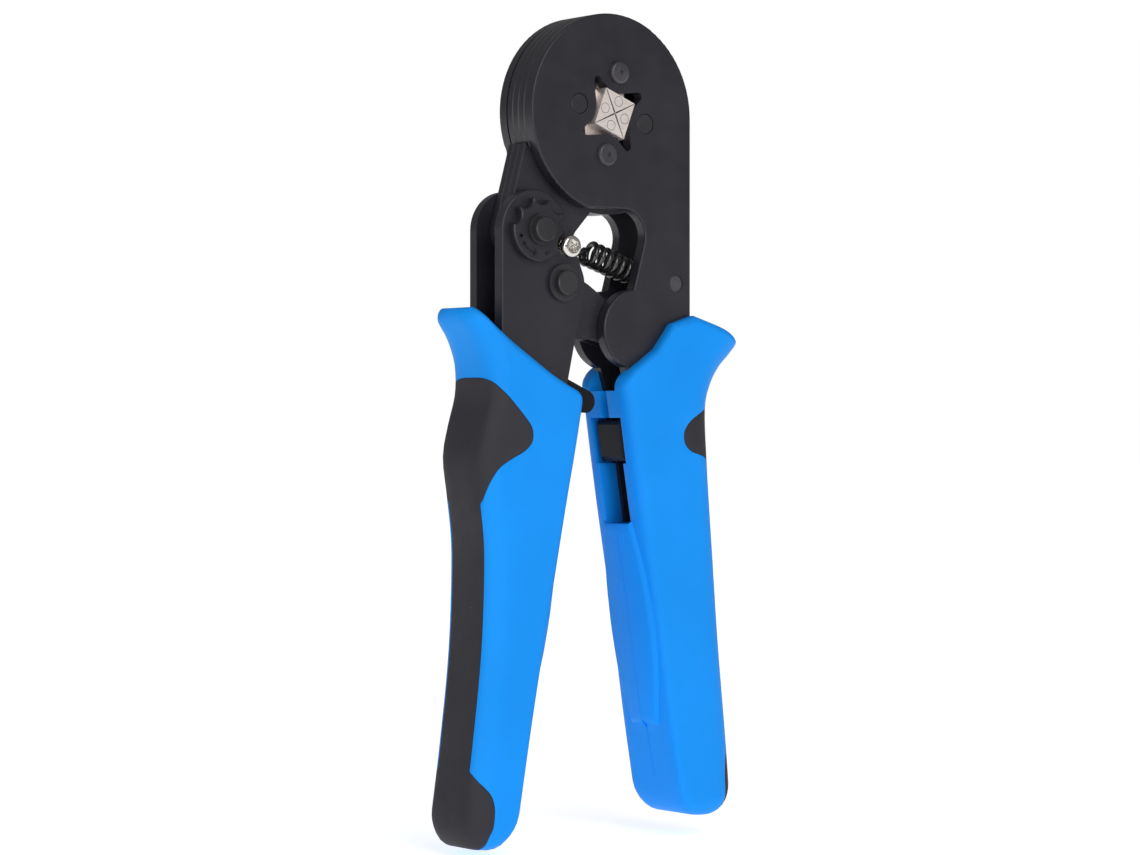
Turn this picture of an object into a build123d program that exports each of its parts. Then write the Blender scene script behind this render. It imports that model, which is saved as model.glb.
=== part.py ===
from build123d import *
import math
import os

os.makedirs("parts", exist_ok=True)

# A hand plier that presses wire end sleeves square.  Four dies close on the crimp axis, which is +Y
# through the origin.  X points right and Z up when the tool is seen from the front (from -Y).  The
# right handle is the fixed frame.  The left handle turns a rotor through an adjustable pin and a strut.

# ---------------------------------------------------------------- driving dimensions, mm and degrees
plate_thick = 2.6            # each outer steel plate, in the frame and in the moving handle
plate_gap = 6.5              # free space between the two outer plates
lamination_thick = 2.0       # each of the three rotor laminations
plate_edge = 0.4             # rounding of the plates' outer edges
lamination_edge = 0.2        # bevel of the rotor laminations' edges
fixed_fit = 0.02             # radial clearance of a riveted or pressed pin
running_fit = 0.05           # radial clearance of a pin that turns

head_radius = 21.1           # the round head, in the frame plates and in the rotor
window_tip_reach = 8.8       # crimp axis to the far end of a window point
window_tip_radius = 0.9
window_tip_angle = 30.0      # direction of the first window point
land_radius = 4.4            # steel left round each die pin at the window

die_pin_circle = 8.9         # radius of the circle of die pins
die_pin_angle = 79.3         # direction of the top die pin
die_pin_radius = 2.15
die_square_reach = 5.7       # crimp axis to a corner of the closed square of dies
die_square_angle = 23.5      # direction of the first corner
die_hairline = 0.05          # half of the gap between two closed dies
die_face_proud = 0.75        # the dies stand out of the plates by this much
die_side_gap = 0.2           # die body to plate
die_eye_radius = 3.3
die_tail_width = 5.2
die_rivet_radius = 1.05
drive_pin_circle = 14.8      # rotor pins that swing the dies by their forked tails
drive_pin_radius = 1.1

wheel_centre = (-20.3, -25.2)      # adjuster pin, where the handle hangs on the rotor
toggle_centre = (-13.2, -36.0)     # pin between the handle and the strut
strut_centre = (6.2, -45.3)        # pin between the strut and the frame
anchor_centre = (17.2, -35.3)      # spring pin in the frame
hook_centre = (-12.9, -28.4)       # spring hole in the rotor
screw_centre = (-12.8, -28.5)      # lock screw of the adjuster wheel
pawl_centre = (13.0, -60.5)        # pivot of the release lever

adjuster_pin_radius = 2.5
toggle_pin_radius = 2.6
strut_pin_radius = 2.5
strut_pin_blind = 1.25       # how deep the strut pin enters each frame plate
anchor_pin_radius = 1.75
pawl_pin_radius = 1.5
handle_rivet_radius = 1.5
spacer_radius = 2.6

wheel_radius = 6.6
wheel_thick = 1.9
wheel_notch_radius = 2.0
wheel_notch_count = 6
clip_thick = 0.6
adjuster_pin_proud = 4.2     # pin end in front of the plates
toggle_pin_proud = 2.3
screw_head_radius = 2.1
screw_head_height = 2.6

strut_plate_thick = 1.9
strut_eye_radius = 5.3
strut_slot_clearance = 0.7   # play of the toggle pin in the strut's slot
strut_slot_travel = 2.7      # extra length of that slot, towards the strut pin
tooth_tip_radius = 6.9       # ratchet teeth round the strut pin
tooth_depth = 0.9
tooth_count = 7
tooth_pitch = 14.0
pawl_bearing = -35.0         # strut pin to the pawl's tip
pawl_tip_radius = 0.8
pawl_gap = 0.4               # pawl's tip to the tips of the teeth

spring_outer = 5.5
spring_wire = 0.85
spring_turns = 10.5
ring_mean = 2.2              # closed loop at the hook end, through the hole in the rotor's ear
spring_start = 9.2           # hook to the first coil, along the spring
spring_end = 7.2             # last coil to the anchor pin

grip_thick = 17.5
grip_inner_radius = 1.8      # rounding beside the flat inner face
grip_outer_radius = 6.5      # rounding of the back that lies in the hand
insert_depth = 1.6           # soft insert let into the grip
insert_strip_width = 8.6     # insert on the grip's back, between its two lobes
tang_end = -128.0            # lowest point of the steel inside the grips

# ---------------------------------------------------------------- derived places
inner_half = plate_gap / 2
stack_half = inner_half + plate_thick
rotor_half = 1.5 * lamination_thick
die_half = inner_half - die_side_gap
grip_half = grip_thick / 2
quarter_turns = (0, 90, 180, 270)


def polar(radius, angle, centre=(0, 0)):
    """Point at a radius and an angle, in degrees, from a centre in the front view."""
    bearing = math.radians(angle)
    return (centre[0] + radius * math.cos(bearing), centre[1] + radius * math.sin(bearing))


def bearing_of(start, end):
    """Direction in degrees from one point of the front view to another."""
    return math.degrees(math.atan2(end[1] - start[1], end[0] - start[0]))


def front_plane(depth):
    """Plane seen from the front at Y = depth.  Extrusions from it grow towards the front."""
    return Plane.XZ.offset(-depth)


def tangent_points(centre_a, radius_a, centre_b, radius_b):
    """Ends of the outer tangent on the left-hand side of the way from a to b."""
    distance = math.dist(centre_a, centre_b)
    lean = math.degrees(math.acos((radius_a - radius_b) / distance))
    normal = bearing_of(centre_a, centre_b) + lean
    return polar(radius_a, normal, centre_a), polar(radius_b, normal, centre_b)


def disc(centre, radius, mode=Mode.ADD):
    """Round area in the active sketch."""
    with Locations(centre):
        Circle(radius, mode=mode)


# ---------------------------------------------------------------- outlines in the front view
cutout_top = -20.0                 # flat end of the head above the C-shaped cut-out
cutout_corner = (10.6, cutout_top)
cutout_corner_radius = 5.5
lobe_radius = 8.45                 # frame plate round the strut pin
lobe_top_angle = 93.0
lobe_bottom_angle = 253.0
fixed_face_slope = 0.1645          # lean of the right grip's inner face
moving_face_slope = 0.2046         # lean of the left grip's inner face
face_level = -62.0                 # height at which the inner faces are placed
fixed_face_x = 2.15
moving_face_x = -9.5
tang_inset = 4.4                   # grip's inner face to the steel inside


def fixed_face(z):
    """X of the right grip's inner face."""
    return fixed_face_x + fixed_face_slope * (face_level - z)


def moving_face(z):
    """X of the left grip's inner face."""
    return moving_face_x - moving_face_slope * (face_level - z)


def frame_outline():
    """Head, right-hand web, lobe and tang of a frame plate."""
    flat_angle = 180 + math.degrees(math.asin(-cutout_top / head_radius))
    lobe_top = polar(lobe_radius, lobe_top_angle, strut_centre)
    lobe_bottom = polar(lobe_radius, lobe_bottom_angle, strut_centre)
    web_bottom = (head_radius, strut_centre[1])
    with BuildLine() as outline:
        CenterArc((0, 0), head_radius, 0, flat_angle)
        Polyline(polar(head_radius, flat_angle), cutout_corner, lobe_top)
        CenterArc(strut_centre, lobe_radius, lobe_top_angle, lobe_bottom_angle - lobe_top_angle)
        Polyline(lobe_bottom, (fixed_face(face_level) + tang_inset, face_level),
                 (fixed_face(tang_end) + tang_inset, tang_end), (25.4, tang_end),
                 web_bottom, (head_radius, 0))
    make_face(outline.edges())
    corner = vertices_at(cutout_corner)
    fillet(corner, cutout_corner_radius)


def vertices_at(point):
    """The corner of the active sketch nearest to a point."""
    return BuildSketch._get_context().vertices().sort_by_distance((point[0], point[1], 0))[0]


def window_outline(mode=Mode.SUBTRACT):
    """Four-pointed window of the head: round points, concave flanks round the die pins."""
    tip_centre_reach = window_tip_reach - window_tip_radius
    sides = []
    for turn in quarter_turns:
        tip = polar(tip_centre_reach, window_tip_angle + turn)
        for pin_angle in (die_pin_angle - 90 + turn, die_pin_angle + turn):
            pin = polar(die_pin_circle, pin_angle)
            spread = math.degrees(math.acos((window_tip_radius + land_radius) / math.dist(tip, pin)))
            turn_way = 1 if pin_angle < window_tip_angle + turn else -1
            normal = bearing_of(tip, pin) + turn_way * spread
            sides.append((polar(window_tip_radius, normal, tip), polar(-land_radius, normal, pin)))
    with BuildLine() as outline:
        for index, turn in enumerate(quarter_turns):
            lower_tip, lower_land = sides[2 * index]
            upper_tip, upper_land = sides[2 * index + 1]
            next_land = sides[(2 * index + 2) % 8][1]
            Line(lower_land, lower_tip)
            ThreePointArc(lower_tip, polar(window_tip_reach, window_tip_angle + turn), upper_tip)
            Line(upper_tip, upper_land)
            pin = polar(die_pin_circle, die_pin_angle + turn)
            middle = polar(land_radius, die_pin_angle + turn + 180, pin)
            ThreePointArc(upper_land, middle, next_land)
    make_face(outline.edges(), mode=mode)


def rotor_neck():
    """Neck of the rotor, from the ring down to the adjuster pin."""
    with BuildLine() as outline:
        Polyline((-3.5, -20.6), (-7.6, -25.0), (-10.2, -29.6), (-17.0, -29.4),
                 (-25.3, -23.6), (-20.7, -7.0), (-10.0, -13.0), (-3.5, -20.6))
    make_face(outline.edges())
    disc(wheel_centre, 5.3)


def arm_outline():
    """Steel plate of the moving handle: eye, toggle lobe and tang."""
    eye_radius = 8.4
    lobe = 5.9
    lobe_angle = -12.8
    eye_tangent, lobe_tangent = tangent_points(wheel_centre, eye_radius, toggle_centre, lobe)
    lobe_end = polar(lobe, lobe_angle, toggle_centre)
    eye_start = (wheel_centre[0] - eye_radius, wheel_centre[1])
    with BuildLine() as outline:
        ThreePointArc(eye_start, polar(eye_radius, 100, wheel_centre), eye_tangent)
        Line(eye_tangent, lobe_tangent)
        ThreePointArc(lobe_tangent, polar(lobe, 5, toggle_centre), lobe_end)
        Polyline(lobe_end, (moving_face(face_level) - tang_inset + 1, face_level),
                 (moving_face(tang_end) - tang_inset, tang_end), (-31.3, tang_end),
                 (eye_start[0], face_level), eye_start)
    make_face(outline.edges())


# ---------------------------------------------------------------- frame plates
def frame_plate(depth, blind_from):
    """One frame plate whose rear face is at the given depth, with its pin holes."""
    with BuildSketch(front_plane(depth)) as profile:
        frame_outline()
        window_outline()
        with PolarLocations(die_pin_circle, 4, start_angle=die_pin_angle):
            Circle(die_pin_radius + fixed_fit, mode=Mode.SUBTRACT)
        disc(anchor_centre, anchor_pin_radius + fixed_fit, Mode.SUBTRACT)
        disc(pawl_centre, pawl_pin_radius + fixed_fit, Mode.SUBTRACT)
        for centre in frame_spacer_centres:
            disc(centre, handle_rivet_radius + fixed_fit, Mode.SUBTRACT)
    extrude(profile.sketch, amount=plate_thick)
    with BuildSketch(front_plane(blind_from)) as profile:
        disc(strut_centre, strut_pin_radius + running_fit)
    extrude(profile.sketch, amount=strut_pin_blind + 0.05, mode=Mode.SUBTRACT)


def round_rim(face, radius):
    """Round the outer edge of a plate's face."""
    fillet(face.outer_wire().edges(), radius)


frame_spacer_centres = [(18.8, -69.0), (20.2, -92.0), (22.0, -119.0)]

with BuildPart() as frame_plate_front:
    frame_plate(-inner_half, -inner_half)
    round_rim(frame_plate_front.faces().sort_by(Axis.Y)[0], plate_edge)

with BuildPart() as frame_plate_rear:
    frame_plate(stack_half, inner_half + strut_pin_blind + 0.05)
    round_rim(frame_plate_rear.faces().sort_by(Axis.Y)[-1], plate_edge)

# ---------------------------------------------------------------- pins and spacers of the frame
dome_radius = 2.4
dome_height = 0.85

with BuildPart() as die_pins_domed:
    domed_centres = [polar(die_pin_circle, die_pin_angle), polar(die_pin_circle, die_pin_angle + 180)]
    with BuildSketch(front_plane(stack_half)):
        with Locations(domed_centres):
            Circle(die_pin_radius)
    extrude(amount=2 * stack_half)
    for depth in (-stack_half, stack_half + dome_height):
        with BuildSketch(front_plane(depth)):
            with Locations(domed_centres):
                Circle(dome_radius)
        extrude(amount=dome_height)
    outer_rims = (die_pins_domed.edges().filter_by(GeomType.CIRCLE).group_by(Axis.Y)[0]
                  + die_pins_domed.edges().filter_by(GeomType.CIRCLE).group_by(Axis.Y)[-1])
    fillet(outer_rims, 0.6)
    with BuildSketch(front_plane(-stack_half - dome_height + 0.3)):
        with Locations(domed_centres):
            Circle(0.45)
    extrude(amount=1, mode=Mode.SUBTRACT)

with BuildPart() as die_pins_flush:
    with BuildSketch(front_plane(stack_half)):
        with Locations([polar(die_pin_circle, die_pin_angle + 90), polar(die_pin_circle, die_pin_angle - 90)]):
            Circle(die_pin_radius)
    extrude(amount=2 * stack_half)
    chamfer(die_pins_flush.edges().filter_by(GeomType.CIRCLE), 0.2)

with BuildPart() as spring_anchor_pin:
    with BuildSketch(front_plane(stack_half - 0.3)):
        disc(anchor_centre, anchor_pin_radius)
    extrude(amount=2 * stack_half - 0.6)
    for depth in (inner_half - 0.05, -spring_wire):
        with BuildSketch(front_plane(depth)):
            disc(anchor_centre, anchor_pin_radius + 0.9)
        extrude(amount=inner_half - 0.05 - spring_wire)

with BuildPart() as pawl_pin:
    with BuildSketch(front_plane(stack_half)):
        disc(pawl_centre, pawl_pin_radius)
    extrude(amount=2 * stack_half)

moving_spacer_centres = [(-24.5, -88.0), (-28.0, -118.0)]


def rivet_group(centres):
    """Rivets through both outer plates, flush with them."""
    with BuildSketch(front_plane(stack_half)) as profile:
        with Locations(centres):
            Circle(handle_rivet_radius)
    extrude(profile.sketch, amount=2 * stack_half)


def spacer_group(centres):
    """Tubes on the rivets that keep the two plates apart."""
    with BuildSketch(front_plane(inner_half)) as profile:
        with Locations(centres):
            Circle(spacer_radius)
            Circle(handle_rivet_radius + fixed_fit, mode=Mode.SUBTRACT)
    extrude(profile.sketch, amount=plate_gap)


with BuildPart() as frame_rivets:
    rivet_group(frame_spacer_centres)

with BuildPart() as frame_spacers:
    spacer_group(frame_spacer_centres)

# ---------------------------------------------------------------- dies
die_names = ("top", "left", "bottom", "right")
die_pin_reference = polar(die_pin_circle, die_pin_angle)
die_rivet_centre = polar(2.75, die_square_angle + 45)
dies = []
die_rivets = []


def jaw_triangle():
    """Quarter of the closed square, a hairline short of its neighbours."""
    first = polar(die_square_reach, die_square_angle)
    second = polar(die_square_reach, die_square_angle + 90)
    inset = polar(die_hairline * math.sqrt(2), die_square_angle + 45)
    corner_a = (first[0] + inset[0], first[1] + inset[1])
    corner_b = (second[0] + inset[0], second[1] + inset[1])
    with BuildLine() as outline:
        Polyline(inset, corner_a, corner_b, inset)
    make_face(outline.edges())


for name, turn in zip(die_names, quarter_turns):
    turned = Plane(origin=(0, 0, 0), x_dir=(polar(1, turn)[0], 0, polar(1, turn)[1]), z_dir=(0, -1, 0))
    with BuildPart() as die:
        with BuildSketch(turned.offset(-stack_half - die_face_proud)):
            jaw_triangle()
        extrude(amount=2 * (stack_half + die_face_proud))
        with BuildSketch(turned.offset(-die_half)):
            jaw_triangle()
            disc(die_pin_reference, die_eye_radius)
            make_hull()
        extrude(amount=2 * die_half)
        with BuildSketch(turned.offset(-0.45 * lamination_thick)):
            with Locations((Location((0, 0, 0), (0, 0, die_pin_angle)))):
                with Locations((die_pin_circle + 3.8, 0)):
                    Rectangle(7.8, die_tail_width)
                with Locations((drive_pin_circle + 1.8, 0)):
                    Rectangle(6.0, 2 * (drive_pin_radius + running_fit), mode=Mode.SUBTRACT)
        extrude(amount=0.9 * lamination_thick)
        with BuildSketch(turned.offset(-stack_half)):
            disc(die_pin_reference, die_pin_radius + running_fit)
        extrude(amount=2 * stack_half, mode=Mode.SUBTRACT)
        with BuildSketch(turned.offset(-stack_half - die_face_proud)):
            disc(die_rivet_centre, die_rivet_radius + fixed_fit)
        extrude(amount=2 * (stack_half + die_face_proud), mode=Mode.SUBTRACT)
    with BuildPart() as rivet:
        with BuildSketch(turned.offset(-stack_half - die_face_proud)):
            disc(die_rivet_centre, die_rivet_radius)
        extrude(amount=2 * (stack_half + die_face_proud))
    die.part.label = "crimp_die_" + name
    rivet.part.label = "die_rivet_" + name
    dies.append(die)
    die_rivets.append(rivet)

# ---------------------------------------------------------------- rotor
rotor_rivet_centres = [polar(19.2, 12), polar(19.2, 125), polar(19.2, 200), polar(19.2, 285), (-16.5, -19.0)]
rotor_rivet_radius = 1.0
ring_bore = die_pin_circle + die_eye_radius + 0.1
pocket_bore = die_pin_circle + 8.5
loop_room_centre = polar(ring_mean, bearing_of(hook_centre, anchor_centre), hook_centre)
loop_room_radius = ring_mean + spring_wire
strut_room_radius = strut_eye_radius + 0.4
strut_swing_at_squeeze = -9.7      # strut's turn when the grips are squeezed with the dies shut
rotor_turn_steps = (0, 1, 2, 3, 4) # rotor's turn as the dies open; the strut pin turns twice as far


def strut_eye_places():
    """Where the strut's eye comes nearest to the rotor, seen from the rotor."""
    reach = math.dist(strut_centre, toggle_centre)
    rest_bearing = bearing_of(strut_centre, toggle_centre)
    places = [polar(reach, rest_bearing + strut_swing_at_squeeze / 2, strut_centre)]
    for turn in rotor_turn_steps:
        place = polar(reach, rest_bearing + strut_swing_at_squeeze + 2 * turn, strut_centre)
        places.append(polar(math.dist((0, 0), place), bearing_of((0, 0), place) - turn))
    return places


def rotor_lamination(depth, bore):
    """One rotor lamination whose rear face is at the given depth."""
    with BuildSketch(front_plane(depth)) as profile:
        Circle(head_radius)
        rotor_neck()
        Circle(bore, mode=Mode.SUBTRACT)
        for centre in rotor_rivet_centres:
            disc(centre, rotor_rivet_radius + fixed_fit, Mode.SUBTRACT)
        disc(wheel_centre, adjuster_pin_radius + running_fit, Mode.SUBTRACT)
        if bore == ring_bore:
            with PolarLocations(drive_pin_circle, 4, start_angle=die_pin_angle):
                Circle(drive_pin_radius + fixed_fit, mode=Mode.SUBTRACT)
            disc(loop_room_centre, loop_room_radius, Mode.SUBTRACT)
        else:
            disc(hook_centre, 2.1)
            disc(hook_centre, 0.95, Mode.SUBTRACT)
    plate = extrude(profile.sketch, amount=lamination_thick)
    for face in (plate.faces().sort_by(Axis.Y)[0], plate.faces().sort_by(Axis.Y)[-1]):
        chamfer(face.outer_wire().edges(), lamination_edge)
    if bore == ring_bore:
        with BuildSketch(front_plane(depth)) as room:
            for place in strut_eye_places():
                disc(place, strut_room_radius)
        extrude(room.sketch, amount=lamination_thick, mode=Mode.SUBTRACT)


with BuildPart() as rotor_plate_front:
    rotor_lamination(-lamination_thick / 2, ring_bore)

with BuildPart() as rotor_plate_middle:
    rotor_lamination(lamination_thick / 2, pocket_bore)

with BuildPart() as rotor_plate_rear:
    rotor_lamination(rotor_half, ring_bore)

with BuildPart() as rotor_rivets:
    with BuildSketch(front_plane(rotor_half)):
        with Locations(rotor_rivet_centres):
            Circle(rotor_rivet_radius)
    extrude(amount=2 * rotor_half)

with BuildPart() as rotor_drive_pins:
    with BuildSketch(front_plane(rotor_half)):
        with PolarLocations(drive_pin_circle, 4, start_angle=die_pin_angle):
            Circle(drive_pin_radius)
    extrude(amount=2 * rotor_half)

# ---------------------------------------------------------------- moving handle
def arm_plate(depth):
    """One plate of the moving handle whose rear face is at the given depth."""
    with BuildSketch(front_plane(depth)) as profile:
        arm_outline()
        disc(wheel_centre, adjuster_pin_radius + running_fit, Mode.SUBTRACT)
        disc(toggle_centre, toggle_pin_radius + fixed_fit, Mode.SUBTRACT)
        for centre in moving_spacer_centres + stop_rivet_centres:
            disc(centre, handle_rivet_radius + fixed_fit, Mode.SUBTRACT)
    extrude(profile.sketch, amount=plate_thick)


stop_rivet_centres = [(-19.0, -56.0)]
stop_tip = (-5.2, -60.6)
stop_radius = 2.4

with BuildPart() as arm_plate_front:
    arm_plate(-inner_half)
    with BuildSketch(front_plane(-inner_half)):
        disc(screw_centre, 1.5 + fixed_fit)
    extrude(amount=plate_thick, mode=Mode.SUBTRACT)
    round_rim(arm_plate_front.faces().sort_by(Axis.Y)[0], plate_edge)

with BuildPart() as arm_plate_rear:
    arm_plate(stack_half)
    round_rim(arm_plate_rear.faces().sort_by(Axis.Y)[-1], plate_edge)

with BuildPart() as adjuster_pin:
    with BuildSketch(front_plane(stack_half + 1.2)):
        disc(wheel_centre, adjuster_pin_radius)
    extrude(amount=2 * stack_half + 1.2 + adjuster_pin_proud)
    with BuildSketch(front_plane(-stack_half - wheel_thick - clip_thick)):
        disc(wheel_centre, adjuster_pin_radius + 0.1)
    extrude(amount=adjuster_pin_proud - wheel_thick - clip_thick)
    chamfer(adjuster_pin.edges().filter_by(GeomType.CIRCLE).group_by(Axis.Y)[0], 0.25)


def retaining_clip(centre, depth, thick, inner, outer, opening_bearing):
    """Flat clip round a pin, open on one side."""
    with BuildSketch(front_plane(depth)) as profile:
        disc(centre, outer)
        disc(centre, inner, Mode.SUBTRACT)
        with Locations(Location((centre[0], centre[1], 0), (0, 0, opening_bearing))):
            with Locations((outer, 0)):
                Rectangle(2 * outer, 1.5 * inner, mode=Mode.SUBTRACT)
    extrude(profile.sketch, amount=thick)


with BuildPart() as adjuster_clips:
    retaining_clip(wheel_centre, -stack_half - wheel_thick, clip_thick,
                   adjuster_pin_radius + fixed_fit, 3.2, 25)
    retaining_clip(wheel_centre, stack_half + 0.05 + clip_thick, clip_thick,
                   adjuster_pin_radius + fixed_fit, 4.2, 0)

with BuildPart() as adjuster_wheel:
    with BuildSketch(front_plane(-stack_half)):
        disc(wheel_centre, wheel_radius)
        disc(wheel_centre, adjuster_pin_radius + running_fit, Mode.SUBTRACT)
        first_notch = bearing_of(wheel_centre, screw_centre)
        for index in range(wheel_notch_count):
            notch = polar(wheel_radius + 0.6, first_notch + 36 * index, wheel_centre)
            disc(notch, wheel_notch_radius, Mode.SUBTRACT)
    extrude(amount=wheel_thick - 0.05)
    chamfer(adjuster_wheel.faces().sort_by(Axis.Y)[0].outer_wire().edges(), 0.25)

with BuildPart() as lock_screw:
    with BuildSketch(front_plane(-inner_half - 0.1)):
        disc(screw_centre, 1.5)
    extrude(amount=plate_thick - 0.1)
    with BuildSketch(front_plane(-stack_half)):
        disc(screw_centre, screw_head_radius)
    extrude(amount=screw_head_height)
    with BuildSketch(front_plane(-stack_half - 1.1)):
        disc(screw_centre, screw_head_radius)
        disc(screw_centre, screw_head_radius - 0.3, Mode.SUBTRACT)
    extrude(amount=0.4, mode=Mode.SUBTRACT)
    with BuildSketch(front_plane(-stack_half - screw_head_height + 1.1)):
        with Locations(screw_centre):
            Rectangle(2.9, 0.8)
            Rectangle(0.8, 2.9)
    extrude(amount=2, mode=Mode.SUBTRACT)

with BuildPart() as toggle_pin:
    with BuildSketch(front_plane(stack_half + 1.4)):
        disc(toggle_centre, toggle_pin_radius)
    extrude(amount=2 * stack_half + 1.4 + toggle_pin_proud)
    chamfer(toggle_pin.edges().filter_by(GeomType.CIRCLE), 0.25)

with BuildPart() as toggle_clips:
    retaining_clip(toggle_centre, -stack_half, 0.8, toggle_pin_radius + fixed_fit, 3.9, 0)
    retaining_clip(toggle_centre, stack_half + 0.8, 0.8, toggle_pin_radius + fixed_fit, 3.9, 0)

with BuildPart() as handle_stop:
    with BuildSketch(front_plane(inner_half)):
        disc((-18.0, -57.0), 4.2)
        disc(stop_tip, stop_radius)
        make_hull()
        for centre in stop_rivet_centres:
            disc(centre, handle_rivet_radius + fixed_fit, Mode.SUBTRACT)
    extrude(amount=plate_gap)

with BuildPart() as handle_rivets:
    rivet_group(moving_spacer_centres + stop_rivet_centres)

with BuildPart() as handle_spacers:
    spacer_group(moving_spacer_centres)

# ---------------------------------------------------------------- strut between toggle pin and frame
strut_bearing = bearing_of(toggle_centre, strut_centre)


def strut_profile():
    """Side of the strut: slotted toggle end, deep lower edge, round end with ratchet teeth."""
    with BuildLine() as outline:
        Polyline(polar(4.0, strut_bearing + 90, toggle_centre), (-4.4, -36.0), (1.2, -39.7),
                 polar(4.6, 60, strut_centre), polar(4.6, -110, strut_centre), (-2.9, -47.5),
                 (-7.9, -47.5), polar(strut_eye_radius - 0.3, 225, toggle_centre),
                 polar(4.0, strut_bearing + 90, toggle_centre))
    make_face(outline.edges())
    disc(toggle_centre, strut_eye_radius)
    disc(strut_centre, 5.0)
    disc(strut_centre, strut_pin_radius + running_fit, Mode.SUBTRACT)
    slot_radius = toggle_pin_radius + strut_slot_clearance
    with Locations(Location((toggle_centre[0], toggle_centre[1], 0), (0, 0, strut_bearing))):
        Circle(slot_radius, mode=Mode.SUBTRACT)
        with Locations((strut_slot_travel / 2, 0)):
            Rectangle(strut_slot_travel, 2 * slot_radius, mode=Mode.SUBTRACT)
        with Locations((strut_slot_travel, 0)):
            Circle(slot_radius, mode=Mode.SUBTRACT)


def ratchet_teeth():
    """Row of teeth round the strut pin, facing the pawl."""
    for index in range(tooth_count):
        angle = pawl_bearing + tooth_pitch * (index - (tooth_count - 1) / 2)
        root = tooth_tip_radius - tooth_depth
        with BuildLine() as outline:
            Polyline(strut_centre, polar(root, angle - tooth_pitch / 2, strut_centre),
                     polar(tooth_tip_radius, angle, strut_centre),
                     polar(root, angle + tooth_pitch / 2, strut_centre), strut_centre)
        make_face(outline.edges())


def strut_plate(depth):
    """One strut plate whose rear face is at the given depth."""
    with BuildSketch(front_plane(depth)) as profile:
        ratchet_teeth()
        strut_profile()
        for centre in strut_rivet_centres:
            disc(centre, 0.8 + fixed_fit, Mode.SUBTRACT)
    extrude(profile.sketch, amount=strut_plate_thick)


strut_rivet_centres = [(-3.6, -43.2), (-1.2, -44.6)]
strut_outer = inner_half - 0.2

with BuildPart() as strut_plate_front:
    strut_plate(-strut_outer + strut_plate_thick)

with BuildPart() as strut_plate_rear:
    strut_plate(strut_outer)

with BuildPart() as strut_spacer:
    with BuildSketch(front_plane(strut_outer - strut_plate_thick)):
        with Locations((-3.4, -43.9)):
            Rectangle(7.2, 4.4)
        for centre in strut_rivet_centres:
            disc(centre, 0.8 + fixed_fit, Mode.SUBTRACT)
    extrude(amount=2 * (strut_outer - strut_plate_thick))

with BuildPart() as strut_rivets:
    with BuildSketch(front_plane(strut_outer)):
        with Locations(strut_rivet_centres):
            Circle(0.8)
    extrude(amount=2 * strut_outer)

with BuildPart() as strut_pin:
    with BuildSketch(front_plane(inner_half + strut_pin_blind)):
        disc(strut_centre, strut_pin_radius)
    extrude(amount=2 * (inner_half + strut_pin_blind))

# ---------------------------------------------------------------- release lever with its pawl
cap_top = -64.6
cap_bottom = -73.2
cap_width = 9.0
lever_width = 5.6
pawl_tip = polar(tooth_tip_radius + pawl_gap + pawl_tip_radius, pawl_bearing, strut_centre)

with BuildPart() as release_lever:
    with BuildSketch(front_plane(lever_width / 2)):
        disc(pawl_centre, 3.3)
        disc((fixed_face(-68) + 5.6, -68.0), 2.2)
        make_hull()
        disc(pawl_centre, 2.6)
    extrude(amount=lever_width)
    with BuildSketch(front_plane(lever_width / 2)):
        disc(pawl_centre, 2.6)
        disc(pawl_tip, pawl_tip_radius)
        make_hull()
    extrude(amount=lever_width)
    with BuildSketch(front_plane(lever_width / 2)):
        with BuildLine():
            Polyline((fixed_face(cap_top) + 0.4, cap_top), (fixed_face(cap_top) + 7.0, cap_top - 1.5),
                     (fixed_face(cap_bottom) + 7.0, cap_bottom + 3.5), (fixed_face(cap_bottom) + 0.4, cap_bottom),
                     (fixed_face(cap_top) + 0.4, cap_top))
        make_face()
    extrude(amount=lever_width)
    with BuildSketch(front_plane(cap_width / 2)):
        with BuildLine():
            Polyline((fixed_face(cap_top) + 0.4, cap_top), (fixed_face(cap_top) + 3.4, cap_top),
                     (fixed_face(cap_bottom) + 3.4, cap_bottom), (fixed_face(cap_bottom) + 0.4, cap_bottom),
                     (fixed_face(cap_top) + 0.4, cap_top))
        make_face()
    extrude(amount=cap_width)
    chamfer(release_lever.faces().sort_by(Axis.X)[0].edges(), 0.9)
    with BuildSketch(front_plane(lever_width)):
        disc(pawl_centre, pawl_pin_radius + running_fit)
    extrude(amount=2 * lever_width, mode=Mode.SUBTRACT)

# ---------------------------------------------------------------- springs
def rod(start, end, radius):
    """Round rod between two points in space."""
    way = Vector(*end) - Vector(*start)
    with BuildSketch(Plane(origin=start, z_dir=way)) as profile:
        Circle(radius)
    extrude(profile.sketch, amount=way.length)


spring_mean = (spring_outer - spring_wire) / 2
spring_bearing = bearing_of(hook_centre, anchor_centre)
spring_span = math.dist(hook_centre, anchor_centre)
coil_length = spring_span - spring_start - spring_end
coil_first = polar(spring_start, spring_bearing, hook_centre)
coil_last = polar(spring_start + coil_length, spring_bearing, hook_centre)
along = polar(1, spring_bearing)
spring_axis = (along[0], 0, along[1])

ring_centre = polar(ring_mean, spring_bearing, hook_centre)
anchor_loop = anchor_pin_radius + spring_wire / 2 + 0.1
across = polar(1, spring_bearing + 90)


def space(point):
    """Point of the front view as a point in the middle plane of the tool."""
    return (point[0], 0, point[1])


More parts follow.
